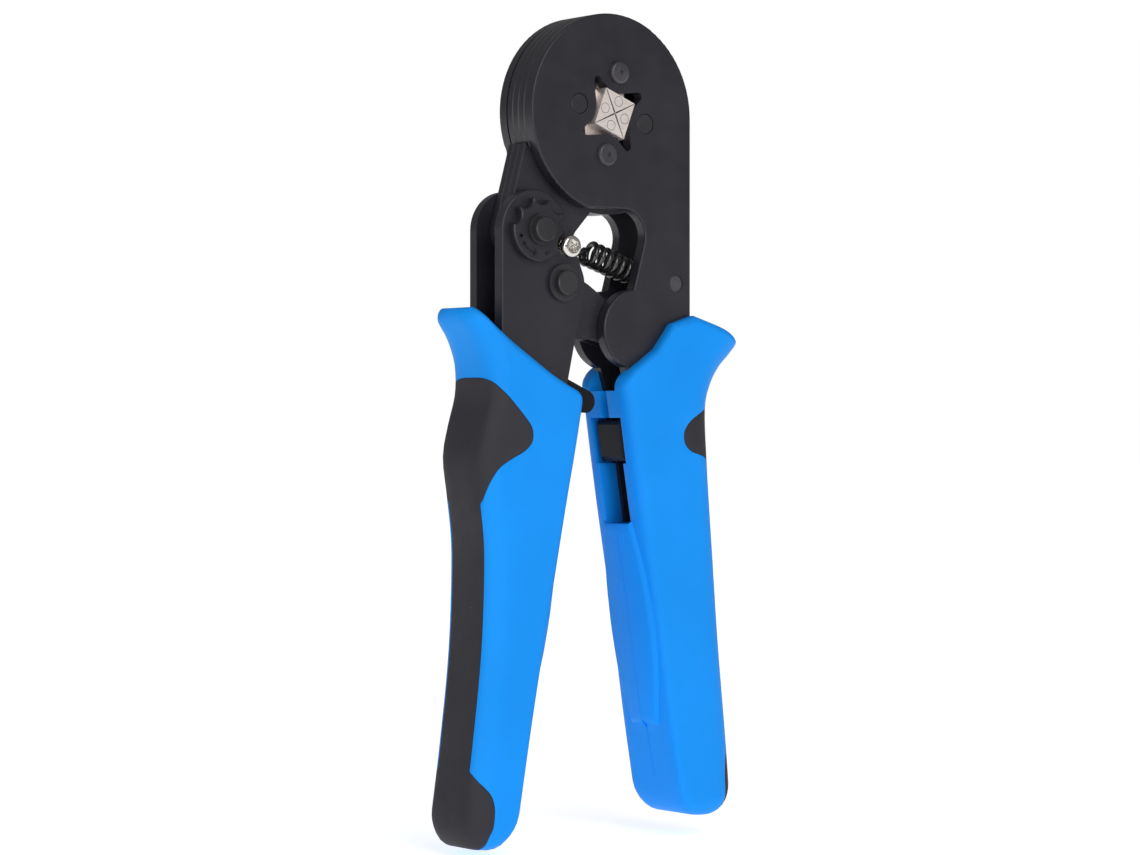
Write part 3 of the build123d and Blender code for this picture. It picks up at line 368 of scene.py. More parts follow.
# Each grip by its faces, rim and foot in the front view.  A pocket has half its depth and its outline.
GRIPS = {
    "fixed": {
        "body": "frame", "crest": 0.7, "lip": 1.3,
        "inner": [(16.3, -143.5), (12.9, -126.0), (9.3, -104.0), (5.4, -82.0), (2.5, -64.0), (1.3, -56.6)],
        "outer": [(31.6, -143.5), (30.7, -130.0), (29.0, -111.0), (27.7, -92.0), (26.5, -75.0),
                  (26.0, -63.0), (27.3, -57.8), (29.8, -53.8), (32.6, -51.2), (34.8, -49.0), (35.3, -47.7)],
        "top": [(1.3, -56.6), (4.4, -53.6), (7.7, -51.9), (10.0, -50.1), (12.3, -47.5), (14.3, -44.8),
                (16.4, -42.6), (18.8, -42.0), (24.2, -43.4), (29.9, -45.3), (35.3, -47.7)],
        "foot": [(16.3, -143.5), (17.3, -146.6), (19.6, -148.6), (22.5, -149.3), (26.5, -149.4),
                 (29.4, -148.4), (30.9, -146.6), (31.6, -143.5)],
        "lobes": [
            [(40, -60.4), (26.5, -60.9), (24.3, -62.0), (21.6, -63.1), (19.0, -64.6), (17.4, -66.4),
             (17.0, -68.0), (17.4, -69.6), (18.8, -71.0), (20.9, -71.7), (23.3, -72.4), (24.9, -73.8),
             (25.9, -76.5), (26.3, -80), (40, -80)],
            [(42, -131), (31.0, -131.2), (30.2, -133.6), (29.2, -137.0), (28.8, -141.0), (28.9, -145.0),
             (28.6, -147.5), (27.6, -149.5), (27.2, -153), (42, -153)],
        ],
        "strip": [(40, -70), (22.5, -70), (23.5, -80), (25.3, -92), (27.0, -111), (28.8, -130),
                  (29.4, -137), (40, -137)],
        "pockets": [
            (5.9, [(5.5, -38), (28.0, -38), (24.0, -50), (22.6, -62), (23.6, -92), (11.5, -92), (9.6, -80),
                   (6.6, -62)]),
            (4.5, [(-6, -36), (12, -36), (12, -58.3), (-6, -58.3)]),
            (1.4, [(-6, -57), (10.5, -57), (11.5, -65), (-6, -65)]),
            (5.2, [(-6, -64), (11.0, -64), (12.5, -73.7), (-6, -73.7)]),
            (4.2, [(-6, -72), (12.5, -72), (14.0, -86.5), (-6, -86.5)]),
        ],
    },
    "moving": {
        "body": "handle", "crest": 2.6, "lip": 1.5,
        "inner": [(-26.0, -146.0), (-22.2, -126.0), (-17.7, -104.0), (-13.2, -82.0), (-9.6, -64.5),
                  (-9.0, -60.4)],
        "outer": [(-38.6, -146.5), (-36.2, -130.0), (-34.0, -111.0), (-33.4, -92.0), (-34.6, -81.0),
                  (-35.7, -73.0), (-34.5, -67.0), (-32.6, -60.5), (-32.7, -54.5), (-34.5, -49.8),
                  (-36.5, -47.0), (-37.9, -45.0)],
        "top": [(-9.0, -60.4), (-10.3, -58.4), (-14.05, -57.0), (-19.5, -53.9), (-24.7, -50.8),
                (-28.6, -48.2), (-31.6, -45.9), (-34.2, -43.8), (-36.2, -43.2), (-37.9, -45.6)],
        "foot": [(-26.0, -146.0), (-27.0, -149.2), (-29.4, -151.6), (-32.2, -152.5), (-35.4, -152.2),
                 (-37.4, -150.4), (-38.4, -148.8), (-38.6, -146.5)],
        "lobes": [
            [(-52, -56.0), (-35.5, -55.6), (-33.8, -54.7), (-32.0, -56.4), (-30.0, -58.6), (-27.35, -61.4),
             (-24.8, -64.0), (-23.3, -65.9), (-22.9, -67.6), (-23.3, -69.3), (-25.1, -70.9), (-28.2, -72.4),
             (-31.0, -74.0), (-32.5, -75.8), (-33.4, -78.0), (-34.0, -81.0), (-34.6, -85.0), (-52, -86)],
            [(-54, -133.5), (-37.2, -133.6), (-37.0, -135.4), (-36.5, -137.0), (-35.7, -138.3),
             (-34.4, -139.7), (-33.2, -141.3), (-32.6, -143.4), (-32.6, -145.4), (-33.0, -147.8),
             (-34.0, -150.0), (-35.0, -156.0), (-54, -156)],
        ],
        "strip": [(-50, -74), (-32.0, -74), (-31.0, -80), (-30.3, -92), (-31.0, -111), (-33.0, -130),
                  (-33.8, -138), (-50, -138)],
        "pockets": [
            (5.9, [(-12.5, -38), (-33.0, -38), (-31.0, -52), (-30.8, -60), (-33.0, -72), (-31.5, -92),
                   (-19.0, -92), (-12.5, -62)]),
            (3.5, [(6, -36), (-24, -36), (-20.5, -56), (-17, -65), (6, -65)]),
        ],
    },
}


class Way:
    """A smooth line in the front view, read by its share of length from 0 to 1."""

    def __init__(self, points, steps=8):
        ends = [points[0], *points, points[-1]]
        self.line = []
        for a, b, c, d in zip(ends, ends[1:], ends[2:], ends[3:]):
            for step in range(steps):
                t = step / steps
                self.line.append(Vector([
                    0.5 * (2 * q + (r - p) * t + (2 * p - 5 * q + 4 * r - s) * t ** 2
                           + (3 * q - p - 3 * r + s) * t ** 3)
                    for p, q, r, s in zip(a, b, c, d)]))
        self.line.append(Vector(points[-1]))
        self.reach = [0.0]
        for first, second in zip(self.line, self.line[1:]):
            self.reach.append(self.reach[-1] + (second - first).length)

    def at(self, share):
        goal = min(max(share, 0.0), 1.0) * self.reach[-1]
        for index in range(1, len(self.line)):
            if self.reach[index] >= goal:
                gap = self.reach[index] - self.reach[index - 1]
                part = (goal - self.reach[index - 1]) / gap if gap else 0
                return self.line[index - 1].lerp(self.line[index], part)
        return self.line[-1].copy()


def quarter(turn):
    """A quarter of a circle in steps of some degrees, each as 1 - cosine and 1 - sine."""
    angles = [math.radians(turn * step) for step in range(90 // turn + 1)]
    return [(1 - math.cos(angle), 1 - math.sin(angle)) for angle in angles]


def half_section(shrink):
    """From the middle of the inner face round to the middle of the back: edge, inset and depth."""
    half = HALF_THICK
    points = [("inner", 0.0, 0.0), ("inner", 0.0, INNER_FLAT * half)]
    points += [("inner", INNER_ROUND * run, half - INNER_ROUND * rise) for run, rise in quarter(ROUND_TURN)]
    points += [("front", share, half) for share in FRONT_SHARES]
    points += [("outer", OUTER_ROUND * run, half - OUTER_ROUND * rise)
               for run, rise in reversed(quarter(OUTER_TURN))]
    points.append(("outer", 0.0, 0.0))
    return [(kind, value if kind == "front" else value + shrink, depth * (half - shrink) / half)
            for kind, value, depth in points]


def grip_rings(spec):
    """The grip's cross-sections from foot to rim, each a closed ring of places in millimetres."""
    inner, outer = Way(spec["inner"]), Way(spec["outer"])
    top, foot = Way(spec["top"]), Way(spec["foot"])
    low_inner, high_inner, low_outer, high_outer = inner.at(0), inner.at(1), outer.at(0), outer.at(1)
    heel, lip = HEEL_ROUND / inner.reach[-1], spec["lip"] / inner.reach[-1]
    levels = [(heel * run, HEEL_ROUND * rise) for run, rise in quarter(ROUND_TURN)]
    for step in range(1, SIDE_RINGS):
        climb = 1 - (1 - step / SIDE_RINGS) ** RIM_CROWDING
        levels.append((heel + (1 - lip - heel) * climb, 0.0))
    levels += [(1 - lip * rise, spec["lip"] * run) for run, rise in quarter(ROUND_TURN)]
    rings = []
    for level, shrink in levels:
        low, high = inner.at(level), outer.at(level)
        width = (high - low).length
        near, far = (INNER_ROUND + shrink) / width, 1 - (OUTER_ROUND + shrink) / width
        ring = []
        for kind, value, depth in half_section(shrink):
            share = {"inner": value / width, "outer": 1 - value / width,
                     "front": near + (far - near) * value}[kind]
            spot = (low.lerp(high, share) + foot.at(share).lerp(top.at(share), level)
                    - low_inner.lerp(low_outer, share).lerp(high_inner.lerp(high_outer, share), level))
            swell = min(1, max(0, (share - CREST_FROM) / CREST_SPREAD))
            swell *= swell * (3 - 2 * swell) * level ** CREST_POWER * (1 - (depth / HALF_THICK) ** 2)
            ring.append((spot.x, -depth, spot.y + spec["crest"] * swell))
        ring += [(x, -y, z) for x, y, z in reversed(ring[1:-1])]
        rings.append(ring)
    return rings


MERGE_GAP = 0.000002                     # metres between vertices that count as one
SHARP_EDGE = 50                          # degrees from which an edge is softened
BLANK_RADIUS, BLANK_DEPTH = 0.01, 0.1    # metres, of the circle or cylinder that a piece is shaped from


def pick(*pieces):
    """Selects these pieces alone and makes the first one active."""
    bpy.ops.object.select_all(action="DESELECT")
    for piece in pieces:
        piece.select_set(True)
    bpy.context.view_layer.objects.active = pieces[0]


def join_as(name, pieces):
    pick(*pieces)
    bpy.ops.object.join()
    bpy.context.object.name = name
    return bpy.context.object


def finish_edit(piece, smooth=35):
    """Merges doubles, turns the faces outwards and smooths all but the sharp edges."""
    pick(piece)
    bpy.ops.object.mode_set(mode="EDIT")
    bpy.ops.mesh.select_all(action="SELECT")
    bpy.ops.mesh.remove_doubles(threshold=MERGE_GAP)
    bpy.ops.mesh.normals_make_consistent(inside=False)
    bpy.ops.object.mode_set(mode="OBJECT")
    bpy.ops.object.shade_smooth_by_angle(angle=math.radians(smooth))


def apply_modifier(piece, kind, **settings):
    """Adds one modifier to a piece and applies it."""
    pick(piece)
    modifier = piece.modifiers.new(kind.lower(), kind)
    for name, value in settings.items():
        setattr(modifier, name, value)
    bpy.ops.object.modifier_apply(modifier=modifier.name)


def soften(piece, width):
    """Rounds the sharp edges by a width in millimetres."""
    apply_modifier(piece, "BEVEL", width=width * MM, segments=2, limit_method="ANGLE",
                   angle_limit=math.radians(SHARP_EDGE))


def combine(piece, other, operation):
    """Joins, cuts or keeps what two pieces share, and uses up the other piece."""
    apply_modifier(piece, "BOOLEAN", operation=operation, object=other, solver="EXACT")
    bpy.data.objects.remove(other, do_unlink=True)


def copied(piece, name):
    twin = piece.copy()
    twin.data = piece.data.copy()
    twin.name = name
    bpy.context.scene.collection.objects.link(twin)
    return twin


def skinned(name, rings, mirror):
    """A closed body over rings of places, shaped from a cylinder that is divided from end to end.

    Place i of a ring mirrors place mirror - i, and faces between such pairs close the two ends.
    """
    around = len(rings[0])
    bpy.ops.object.select_all(action="DESELECT")
    bpy.ops.mesh.primitive_cylinder_add(vertices=around, radius=BLANK_RADIUS, depth=BLANK_DEPTH,
                                        end_fill_type="NOTHING")
    body = bpy.context.object
    body.name = name
    bpy.ops.object.mode_set(mode="EDIT")
    form = bmesh.from_edit_mesh(body.data)
    for edge in form.edges:
        edge.select_set(abs(edge.verts[0].co.z - edge.verts[1].co.z) > BLANK_DEPTH / 2)
    bmesh.update_edit_mesh(body.data)
    bpy.ops.mesh.subdivide(number_cuts=len(rings) - 2)
    form = bmesh.from_edit_mesh(body.data)
    rows = {}
    for vert in form.verts:
        rows.setdefault(round((vert.co.z / BLANK_DEPTH + 0.5) * (len(rings) - 1)), []).append(vert)
    for row, verts in rows.items():
        verts.sort(key=lambda vert: math.atan2(vert.co.y, vert.co.x) % math.tau)
        for vert, place in zip(verts, rings[row]):
            vert.co = Vector(place) * MM
    for row in (0, len(rings) - 1):
        for step in range(around // 2):
            four = (step, step + 1, (mirror - step - 1) % around, (mirror - step) % around)
            corners = list(dict.fromkeys(rows[row][index] for index in four))
            if len(corners) > 2:
                form.faces.new(corners)
    bmesh.update_edit_mesh(body.data)
    bpy.ops.object.mode_set(mode="OBJECT")
    finish_edit(body)
    return body


def prism(name, outline, front, back):
    """A flat outline of the front view, extruded from one depth to another."""
    bpy.ops.object.select_all(action="DESELECT")
    bpy.ops.mesh.primitive_circle_add(vertices=len(outline), radius=BLANK_RADIUS, fill_type="NGON")
    piece = bpy.context.object
    piece.name = name
    bpy.ops.object.mode_set(mode="EDIT")
    form = bmesh.from_edit_mesh(piece.data)
    form.verts.ensure_lookup_table()
    for vert, (x, z) in zip(form.verts, outline):
        vert.co = Vector((x, front, z)) * MM
    bmesh.update_edit_mesh(piece.data)
    bpy.ops.mesh.select_all(action="SELECT")
    bpy.ops.mesh.extrude_region_move(TRANSFORM_OT_translate={"value": (0, (back - front) * MM, 0)})
    bpy.ops.mesh.select_all(action="SELECT")
    bpy.ops.mesh.normals_make_consistent(inside=False)
    bpy.ops.object.mode_set(mode="OBJECT")
    return piece


def grown(outline, by):
    """The same closed outline, moved outwards all round."""
    area = sum(a[0] * b[1] - b[0] * a[1] for a, b in zip(outline, outline[1:] + outline[:1]))
    turn = 1 if area > 0 else -1
    result = []
    for before, here, after in zip(outline[-1:] + outline[:-1], outline, outline[1:] + outline[:1]):
        sides = []
        for first, second in ((before, here), (here, after)):
            run = (Vector(second) - Vector(first)).normalized()
            sides.append(Vector((run.y, -run.x)) * turn)
        out = (sides[0] + sides[1]).normalized()
        result.append(tuple(Vector(here) + out * by / max(LEAST_MITRE, out.dot(sides[0]))))
    return result


def bar(x, z, degrees, long, across):
    """The outline of a turned rectangle, by its middle, half length and half width."""
    way = Vector((math.cos(math.radians(degrees)), math.sin(math.radians(degrees))))
    side = Vector((-way.y, way.x))
    return [(x + way.x * a + side.x * b, z + way.y * a + side.y * b)
            for a, b in ((-long, -across), (long, -across), (long, across), (-long, across))]


def insert_space(spec, spare):
    """The room of the soft insert: two lobes across the grip and a strip down its back."""
    outlines = []
    for first, *lobe, last in spec["lobes"]:
        curve = [tuple(spot) for spot in Way(lobe, LOBE_STEPS).line]
        outlines.append(([first, *curve, last], LOBE_DEPTH))
    outlines.append((spec["strip"], STRIP_HALF + spare))
    rooms = [prism("insert_room", grown(outline, spare), -half, half) for outline, half in outlines]
    for room in rooms[1:]:
        combine(rooms[0], room, "UNION")
    return rooms[0]


def inward(spec):
    """Which way along X a grip's inner face looks: to -X on the fixed grip, to +X on the moving one."""
    return -1 if spec["body"] == "frame" else 1


def grip_pad(name, spec):
    """The barrel-shaped thumb pad on the inner face, with sloped sides."""
    inner, widths = Way(spec["inner"]), Way(PAD_WIDTHS)

    def face_at(z):
        for step in range(FACE_STEPS):
            spot = inner.at(step / FACE_STEPS)
            if spot.y >= z:
                break
        return spot.x

    rings = []
    for stand, inset in PAD_LAYERS:
        ring = []
        for step in range(PAD_STEPS + 1):
            spot = widths.at(step / PAD_STEPS)
            z = PAD_MIDDLE + (spot.x - PAD_MIDDLE) * (1 - inset / PAD_HALF_HEIGHT)
            ring.append((face_at(z) + inward(spec) * stand, inset - spot.y, z))
        ring += [(x, -y, z) for x, y, z in reversed(ring)]
        rings.append(ring)
    return skinned(name, rings, mirror=-1)


def parting_line(spec):
    """The mould's fine parting ridge down the middle of the inner face and its pad."""
    inner = Way(spec["inner"])
    ridge, root = [], []
    for step in range(RIDGE_STEPS + 1):
        spot = inner.at(RIDGE_FROM + RIDGE_SPAN * step / RIDGE_STEPS)
        stand = PAD_STAND if spot.y > PAD_WIDTHS[-1][0] + RIDGE_PAD_GAP else 0
        ridge.append((spot.x + inward(spec) * (stand + RIDGE_PROUD), spot.y))
        root.append((spot.x - inward(spec) * RIDGE_ROOT, spot.y))
    return prism("parting_line", ridge + root[::-1], -RIDGE_HALF, RIDGE_HALF)


class PLIER_OT_grips(bpy.types.Operator):
    """Add the two moulded grips, each a hard sleeve with a soft insert"""
    bl_idname = "plier.grips"
    bl_label = "Grips"

    def execute(self, context):
        for side, spec in GRIPS.items():
            sleeve = skinned(f"{side}_grip_shell", grip_rings(spec), mirror=0)
            combine(sleeve, grip_pad(f"{side}_grip_pad", spec), "UNION")
            for half, outline in spec["pockets"]:
                combine(sleeve, prism("pocket", outline, -half, half), "DIFFERENCE")
            insert = copied(sleeve, f"{side}_grip_soft")
            combine(insert, insert_space(spec, 0), "INTERSECT")
            combine(sleeve, insert_space(spec, HAIRLINE), "DIFFERENCE")
            for piece, finish, slot, node in (
                    (sleeve, "plastic", "grip_plastic", f"{side}_grip_sleeve"),
                    (insert, "rubber", "soft_insert", f"{side}_grip_insert")):
                soften(piece, GRIP_EDGE)
                finish_edit(piece)
                if piece is sleeve:
                    join_as(piece.name, [piece, parting_line(spec)])
                give_finish(piece, FINISHES[finish])
                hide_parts(node)
                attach(piece, spec["body"])
        return {"FINISHED"}


# ------------------------------------------------------------------ marks on the adjuster wheel
# Angles are in degrees round the wheel's middle, from +X up, and lengths are in millimetres.
PLUS_ANGLE, MINUS_ANGLE = 196, 291
BAR_HALF = 0.62                          # half the length of a bar of the plus or the minus
ARROW_FROM, ARROW_SWEEP, ARROW_STEPS = 215, 38, 12
ARROW_HEAD = ((251, 0.85), (262, 0.0), (251, -0.85))      # angle, and distance out from the arrow's line
ARROW_TAIL = ((218, -0.7), (208, 0.0), (218, 0.7))
MARK_ROOT = 0.1                          # how deep the marks go into the wheel


def wheel_marks():
    """Outlines of the plus, the turning arrow and the minus, round the wheel's middle."""
    low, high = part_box("adjuster_wheel")
    middle_x, middle_z = (low.x + high.x) / 2 / MM, (low.z + high.z) / 2 / MM
    radius, half = sizes().mark_radius / MM, sizes().mark_stroke / MM / 2

    def spot(angle, out=0.0):
        turn = math.radians(angle)
        return (middle_x + (radius + out) * math.cos(turn), middle_z + (radius + out) * math.sin(turn))

    arrow = [ARROW_FROM + ARROW_SWEEP * step / ARROW_STEPS for step in range(ARROW_STEPS + 1)]
    return [
        bar(*spot(PLUS_ANGLE), PLUS_ANGLE, BAR_HALF, half),
        bar(*spot(PLUS_ANGLE), PLUS_ANGLE + 90, BAR_HALF, half),
        bar(*spot(MINUS_ANGLE), MINUS_ANGLE + 90, BAR_HALF, half),
        [spot(angle, half) for angle in arrow] + [spot(angle, -half) for angle in reversed(arrow)],
        [spot(angle, out) for angle, out in ARROW_HEAD],
        [spot(angle, out) for angle, out in ARROW_TAIL],
    ]


class PLIER_OT_marks(bpy.types.Operator):
    """Add the plus, minus and turning arrow on the adjuster wheel"""
    bl_idname = "plier.marks"
    bl_label = "Wheel Marks"

    def execute(self, context):
        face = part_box("adjuster_wheel")[0].y / MM
        strokes = [prism("wheel_marks", outline, face - sizes().mark_proud / MM, face + MARK_ROOT)
                   for outline in wheel_marks()]
        marks = join_as("wheel_marks", strokes)
        finish_edit(marks, smooth=30)
        give_finish(marks, FINISHES["mark"])
        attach(marks, "handle")
        return {"FINISHED"}


# ------------------------------------------------------------------ return spring
# Lengths are in millimetres, and the two ends are (x, z) in the front view.
SPRING_HOOK, SPRING_ANCHOR = (-12.9, -28.4), (17.2, -35.3)
HOOK_RADIUS, ANCHOR_RADIUS = 2.2, 2.3
LOOP_STEPS = 24                          # steps in a whole loop
HOOK_STEPS, ANCHOR_STEPS = (5, 25), (0, 21)               # the part of each loop that is wire
LEAD_LENGTH = 6.0                        # from the hook to where the wire turns into the coil
COIL_TURNS, COIL_STEPS, COIL_FADE = 8, 20, 8              # turns, steps in a turn, steps from wire to coil
COIL_FROM, COIL_TO = 9.7, 6.2            # the coil's gaps from the hook and from the anchor
COIL_OFFSET, COIL_DRIFT = 1.7, 1.4       # the coil's offset from the ends' line, and its drop


def spring_line():
    """The wire's middle line: hook loop, coil and anchor loop."""
    along = Vector((SPRING_ANCHOR[0] - SPRING_HOOK[0], 0, SPRING_ANCHOR[1] - SPRING_HOOK[1]))
    span = along.length
    along.normalize()
    across, deep = Vector((-along.z, 0, along.x)), Vector((0, 1, 0))
    hook = Vector((SPRING_HOOK[0], 0, SPRING_HOOK[1]))
    line = []
    for step in range(*HOOK_STEPS):
        angle = math.tau * step / LOOP_STEPS
        line.append(hook + along * (HOOK_RADIUS + HOOK_RADIUS * math.cos(angle))
                    + deep * HOOK_RADIUS * math.sin(angle))
    line.append(hook + along * LEAD_LENGTH)
    coil_radius, steps = sizes().coil_radius / MM, COIL_TURNS * COIL_STEPS
    for step in range(steps + 1):
        angle = math.tau * step / COIL_STEPS
        reach = coil_radius * min(1, step / COIL_FADE, (steps - step) / COIL_FADE)
        line.append(hook + along * (COIL_FROM + (span - COIL_TO - COIL_FROM) * step / steps)
                    + across * (COIL_OFFSET - COIL_DRIFT * step / steps)
                    + across * reach * math.cos(angle) + deep * reach * math.sin(angle))
    anchor = hook + along * span
    for step in range(*ANCHOR_STEPS):
        angle = math.tau * step / LOOP_STEPS
        line.append(anchor - along * ANCHOR_RADIUS * math.cos(angle)
                    + across * ANCHOR_RADIUS * math.sin(angle))
    return line


class PLIER_OT_spring(bpy.types.Operator):
    """Add the return spring, a coil of round wire with a loop at each end"""
    bl_idname = "plier.spring"
    bl_label = "Return Spring"

    def execute(self, context):
        points = spring_line()
        wire = bpy.data.curves.new("return_spring_wire", "CURVE")
        wire.dimensions = "3D"
        wire.bevel_depth = sizes().spring_wire / 2
        wire.bevel_resolution = 3
        wire.use_fill_caps = True
        spline = wire.splines.new("NURBS")
        spline.points.add(len(points) - 1)
        for knot, place in zip(spline.points, points):
            knot.co = (*(place * MM), 1)
        spline.order_u = 4
        spline.use_endpoint_u = True
        spline.resolution_u = 2
        coil = bpy.data.objects.new("return_spring_wire", wire)
        context.scene.collection.objects.link(coil)
        pick(coil)
        bpy.ops.object.convert(target="MESH")
        coil = context.object
        finish_edit(coil, smooth=60)
        give_finish(coil, FINISHES["spring"])
        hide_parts("return_spring")
        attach(coil, "frame")
        return {"FINISHED"}


# ------------------------------------------------------------------ screw head and die details
# Lengths are in millimetres.
SCREW_DEPTH, SCREW_SINK = 1.5, 0.15      # the head's height, and its middle behind the CAD face
SCREW_DOME, SCREW_EDGE = 0.75, 0.07      # rounding of the head and of the recess's edges
RECESS_TURNS = (28, 118)                 # degrees
RECESS_HALF_LENGTH, RECESS_HALF_WIDTH, RECESS_DEPTH = 1.25, 0.3, 0.85
RECESS_FRONT = 1                         # how far in front of the head the cut starts
FRONT_GAP = 0.01                         # an edge this near the front belongs to it

RIVET_RING = 0.045                       # radius of the ring round a die's rivet
SEAM_TURN = 23.5                         # degrees, of the seam beside the top die
SEAM = ((0.05, 0.0), (0.3, -0.16), (5.45, -0.07), (5.45, 0.07), (0.3, 0.16))    # along, across
SEAM_PROUD, SEAM_ROOT = 0.012, 0.05      # in front of and behind the die's face


class PLIER_OT_screw_head(bpy.types.Operator):
    """Add the lock screw's domed head with its cross recess"""
    bl_idname = "plier.screw_head"
    bl_label = "Screw Head"

    def execute(self, context):
        low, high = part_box("lock_screw")
        x, z, face = (low.x + high.x) / 2, (low.z + high.z) / 2, low.y
        bpy.ops.object.select_all(action="DESELECT")
        bpy.ops.mesh.primitive_cylinder_add(
            vertices=64, radius=sizes().screw_radius, depth=SCREW_DEPTH * MM,
            location=(x, face + SCREW_SINK * MM, z), rotation=(math.pi / 2, 0, 0))
        head = context.object
        head.name = "lock_screw_head"
        bpy.ops.object.transform_apply(location=True, rotation=True, scale=True)
        bpy.ops.object.mode_set(mode="EDIT")
        form = bmesh.from_edit_mesh(head.data)
        front = min(vert.co.y for vert in form.verts)
        for part in (*form.faces, *form.edges, *form.verts):
            part.select_set(False)
        for edge in form.edges:
            edge.select_set(all(abs(vert.co.y - front) < FRONT_GAP * MM for vert in edge.verts))
        bmesh.update_edit_mesh(head.data)
        bpy.ops.mesh.bevel(offset=SCREW_DOME * MM, segments=6, affect="EDGES")
        bpy.ops.object.mode_set(mode="OBJECT")
        for turn in RECESS_TURNS:
            outline = bar(x / MM, z / MM, turn, RECESS_HALF_LENGTH, RECESS_HALF_WIDTH)
            slot = prism("recess", outline, front / MM - RECESS_FRONT, front / MM + RECESS_DEPTH)
            combine(head, slot, "DIFFERENCE")
        soften(head, SCREW_EDGE)
        finish_edit(head, smooth=40)
        give_finish(head, FINISHES["nickel"])
        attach(head, "handle")
        return {"FINISHED"}


class PLIER_OT_die_details(bpy.types.Operator):
    """Add the fine rings round the die rivets and the dark seams between the dies"""
    bl_idname = "plier.die_details"
    bl_label = "Die Details"

    def execute(self, context):
        for index, name in enumerate(DIES):
            low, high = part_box(f"die_rivet_{name}")
            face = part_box(f"crimp_die_{name}")[0].y
            bpy.ops.object.select_all(action="DESELECT")
            bpy.ops.mesh.primitive_torus_add(
                location=((low.x + high.x) / 2, face, (low.z + high.z) / 2), rotation=(math.pi / 2, 0, 0),
                major_radius=(high.x - low.x) / 2, minor_radius=RIVET_RING * MM,
                major_segments=48, minor_segments=8)
            bpy.ops.object.transform_apply(location=True, rotation=True, scale=True)
            ring = context.object
            turn = math.radians(SEAM_TURN + 90 * index)
            way, side = Vector((math.cos(turn), math.sin(turn))), Vector((-math.sin(turn), math.cos(turn)))
            outline = [tuple(way * along + side * across) for along, across in SEAM]
            seam = prism("seam", outline, face / MM - SEAM_PROUD, face / MM + SEAM_ROOT)
            detail = join_as(f"die_{name}_lines", [ring, seam])
            finish_edit(detail, smooth=40)
            give_finish(detail, FINISHES["line"])
            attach(detail, f"die_{name}")
        return {"FINISHED"}


# ------------------------------------------------------------------ stage
STAGE_GAP = 0.0015                       # metres from the lowest point down to the floor
FLOOR_RADIUS, FLOOR_GLOW = 6, 0.66
AMBIENT = 0.25
SUNS = (                                 # name, way it shines, strength and angle in degrees
    ("key_light", (0.16, 0.86, -0.48), 1.25, 40),
    ("side_light", (0.90, 0.20, -0.38), 0.16, 30),
)
PANEL_PLACE, PANEL_TARGET = (-0.78, -0.60, 0.03), (0, 0, -0.05)
PANEL_SIZE, PANEL_POWER = (0.10, 0.55), 1.6
CAMERA_PLACE = (-0.4074, -0.5315, -0.06607)
CAMERA_WAY = (0.6018, 0.7986, 0.0)
CAMERA_LENS = 99.75


def looking(name, data, place, way):
    """Puts a light or camera at a place, pointed along a way."""
    thing = bpy.data.objects.new(name, data)
    thing.location = place
    thing.rotation_euler = Vector(way).to_track_quat("-Z", "Y").to_euler()
    bpy.context.scene.collection.objects.link(thing)
    return thing


def add_sun(name, way, strength, angle):
    """A broad, soft light that shines along a direction."""
    light = bpy.data.lights.new(name, "SUN")
    light.energy = strength
    light.angle = math.radians(angle)
    looking(name, light, (0, 0, 0), way)


def add_panel(name, place, target, size, power):
    """A soft box that points at a place."""
    light = bpy.data.lights.new(name, "AREA")
    light.shape = "RECTANGLE"
    light.size, light.size_y = size
    light.energy = power
    looking(name, light, place, Vector(target) - Vector(place))


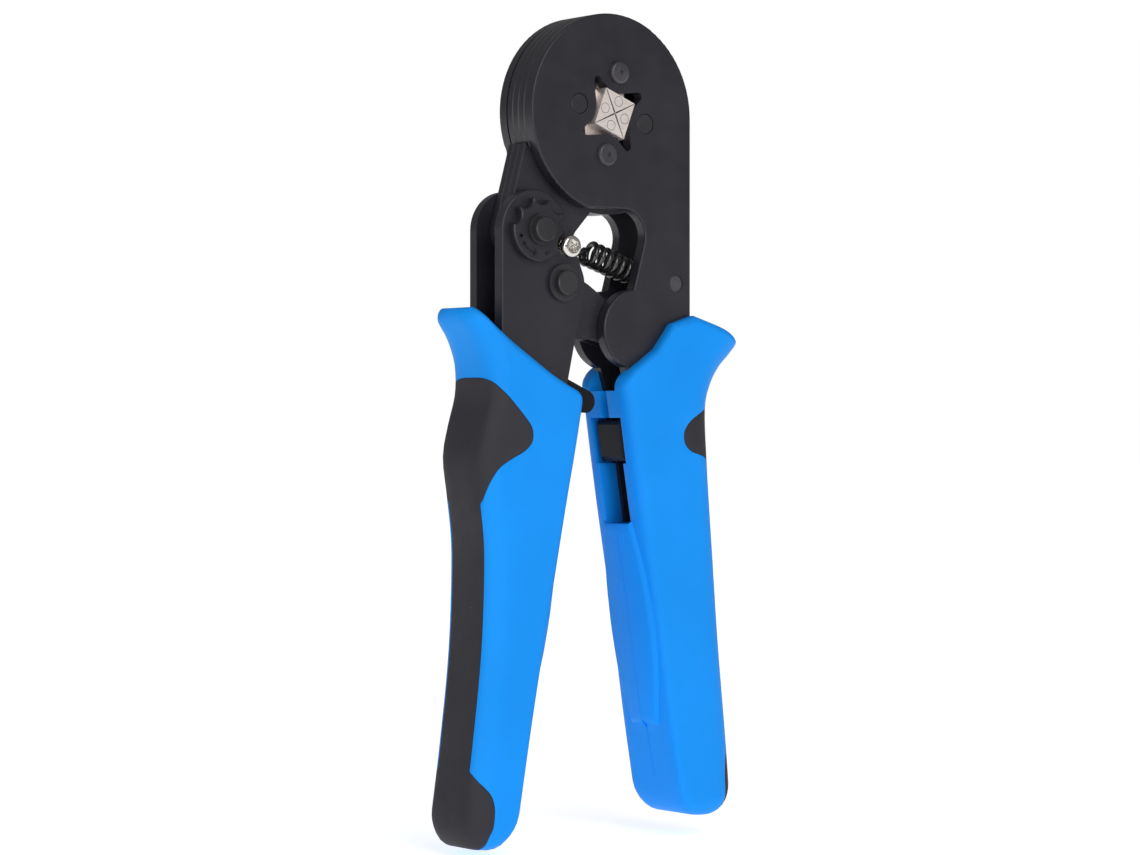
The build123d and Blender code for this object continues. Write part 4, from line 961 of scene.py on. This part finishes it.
class PLIER_OT_stage(bpy.types.Operator):
    """Add the pale floor, the soft studio light and the camera"""
    bl_idname = "plier.stage"
    bl_label = "Stage"

    def execute(self, context):
        scene = context.scene
        bpy.ops.object.select_all(action="DESELECT")
        bpy.ops.mesh.primitive_circle_add(vertices=96, radius=FLOOR_RADIUS, fill_type="NGON",
                                          location=(0, 0, CAD_BOX[0].z - STAGE_GAP))
        floor = context.object
        floor.name = "studio_floor"
        finish = Finish("pale_floor", metallic=0.0, roughness=0.9, specular=0.0)
        finish.shader.inputs["Emission Color"].default_value = (1, 1, 1, 1)
        finish.shader.inputs["Emission Strength"].default_value = FLOOR_GLOW
        shade = colours().floor
        clouds = finish.noise(scale=3, detail=2, roughness=0.5)
        finish.colour(finish.ramp(clouds, lighter(shade, 0.99), shade))
        floor.data.materials.append(finish.material)

        world = bpy.data.worlds.new("studio")
        scene.world = world
        world.use_nodes = True
        tree = world.node_tree
        ambient = tree.nodes["Background"]
        ambient.inputs["Strength"].default_value = AMBIENT
        ambient.inputs["Color"].default_value = (1, 1, 1, 1)
        backdrop = tree.nodes.new("ShaderNodeBackground")
        backdrop.inputs["Color"].default_value = (1, 1, 1, 1)
        seen = tree.nodes.new("ShaderNodeLightPath").outputs["Is Camera Ray"]
        blend = tree.nodes.new("ShaderNodeMixShader")
        tree.links.new(seen, blend.inputs["Fac"])
        tree.links.new(ambient.outputs["Background"], blend.inputs[1])
        tree.links.new(backdrop.outputs["Background"], blend.inputs[2])
        tree.links.new(blend.outputs["Shader"], tree.nodes["World Output"].inputs["Surface"])

        for sun in SUNS:
            add_sun(*sun)
        add_panel("edge_panel", PANEL_PLACE, PANEL_TARGET, PANEL_SIZE, PANEL_POWER)

        lens = bpy.data.cameras.new("camera")
        lens.lens = CAMERA_LENS
        lens.clip_start, lens.clip_end = 0.01, 50
        scene.camera = looking("camera", lens, CAMERA_PLACE, CAMERA_WAY)
        scene.view_settings.view_transform = "Standard"
        return {"FINISHED"}


# ------------------------------------------------------------------ panel and registration
OPERATORS = (PLIER_OT_finishes, PLIER_OT_grips, PLIER_OT_marks, PLIER_OT_spring, PLIER_OT_screw_head,
             PLIER_OT_die_details, PLIER_OT_stage)


class PLIER_PT_sidebar(bpy.types.Panel):
    bl_idname = "PLIER_PT_sidebar"
    bl_label = "Crimping Plier"
    bl_space_type = "VIEW_3D"
    bl_region_type = "UI"
    bl_category = "Plier"

    def draw(self, context):
        layout = self.layout
        for operator in OPERATORS:
            layout.operator(operator.bl_idname)
        for group in (context.scene.plier_sizes, context.scene.plier_colours):
            box = layout.box()
            for name in group.__annotations__:
                box.prop(group, name)


CLASSES = (PlierColours, PlierSizes, *OPERATORS, PLIER_PT_sidebar)


def register():
    for item in CLASSES:
        bpy.utils.register_class(item)
    bpy.types.Scene.plier_colours = PointerProperty(type=PlierColours)
    bpy.types.Scene.plier_sizes = PointerProperty(type=PlierSizes)


def unregister():
    del bpy.types.Scene.plier_sizes
    del bpy.types.Scene.plier_colours
    for item in reversed(CLASSES):
        bpy.utils.unregister_class(item)


def main():
    register()
    bpy.ops.plier.finishes()
    bpy.ops.plier.grips()
    bpy.ops.plier.marks()
    bpy.ops.plier.spring()
    bpy.ops.plier.screw_head()
    bpy.ops.plier.die_details()
    bpy.ops.plier.stage()


if __name__ == "__main__":
    main()
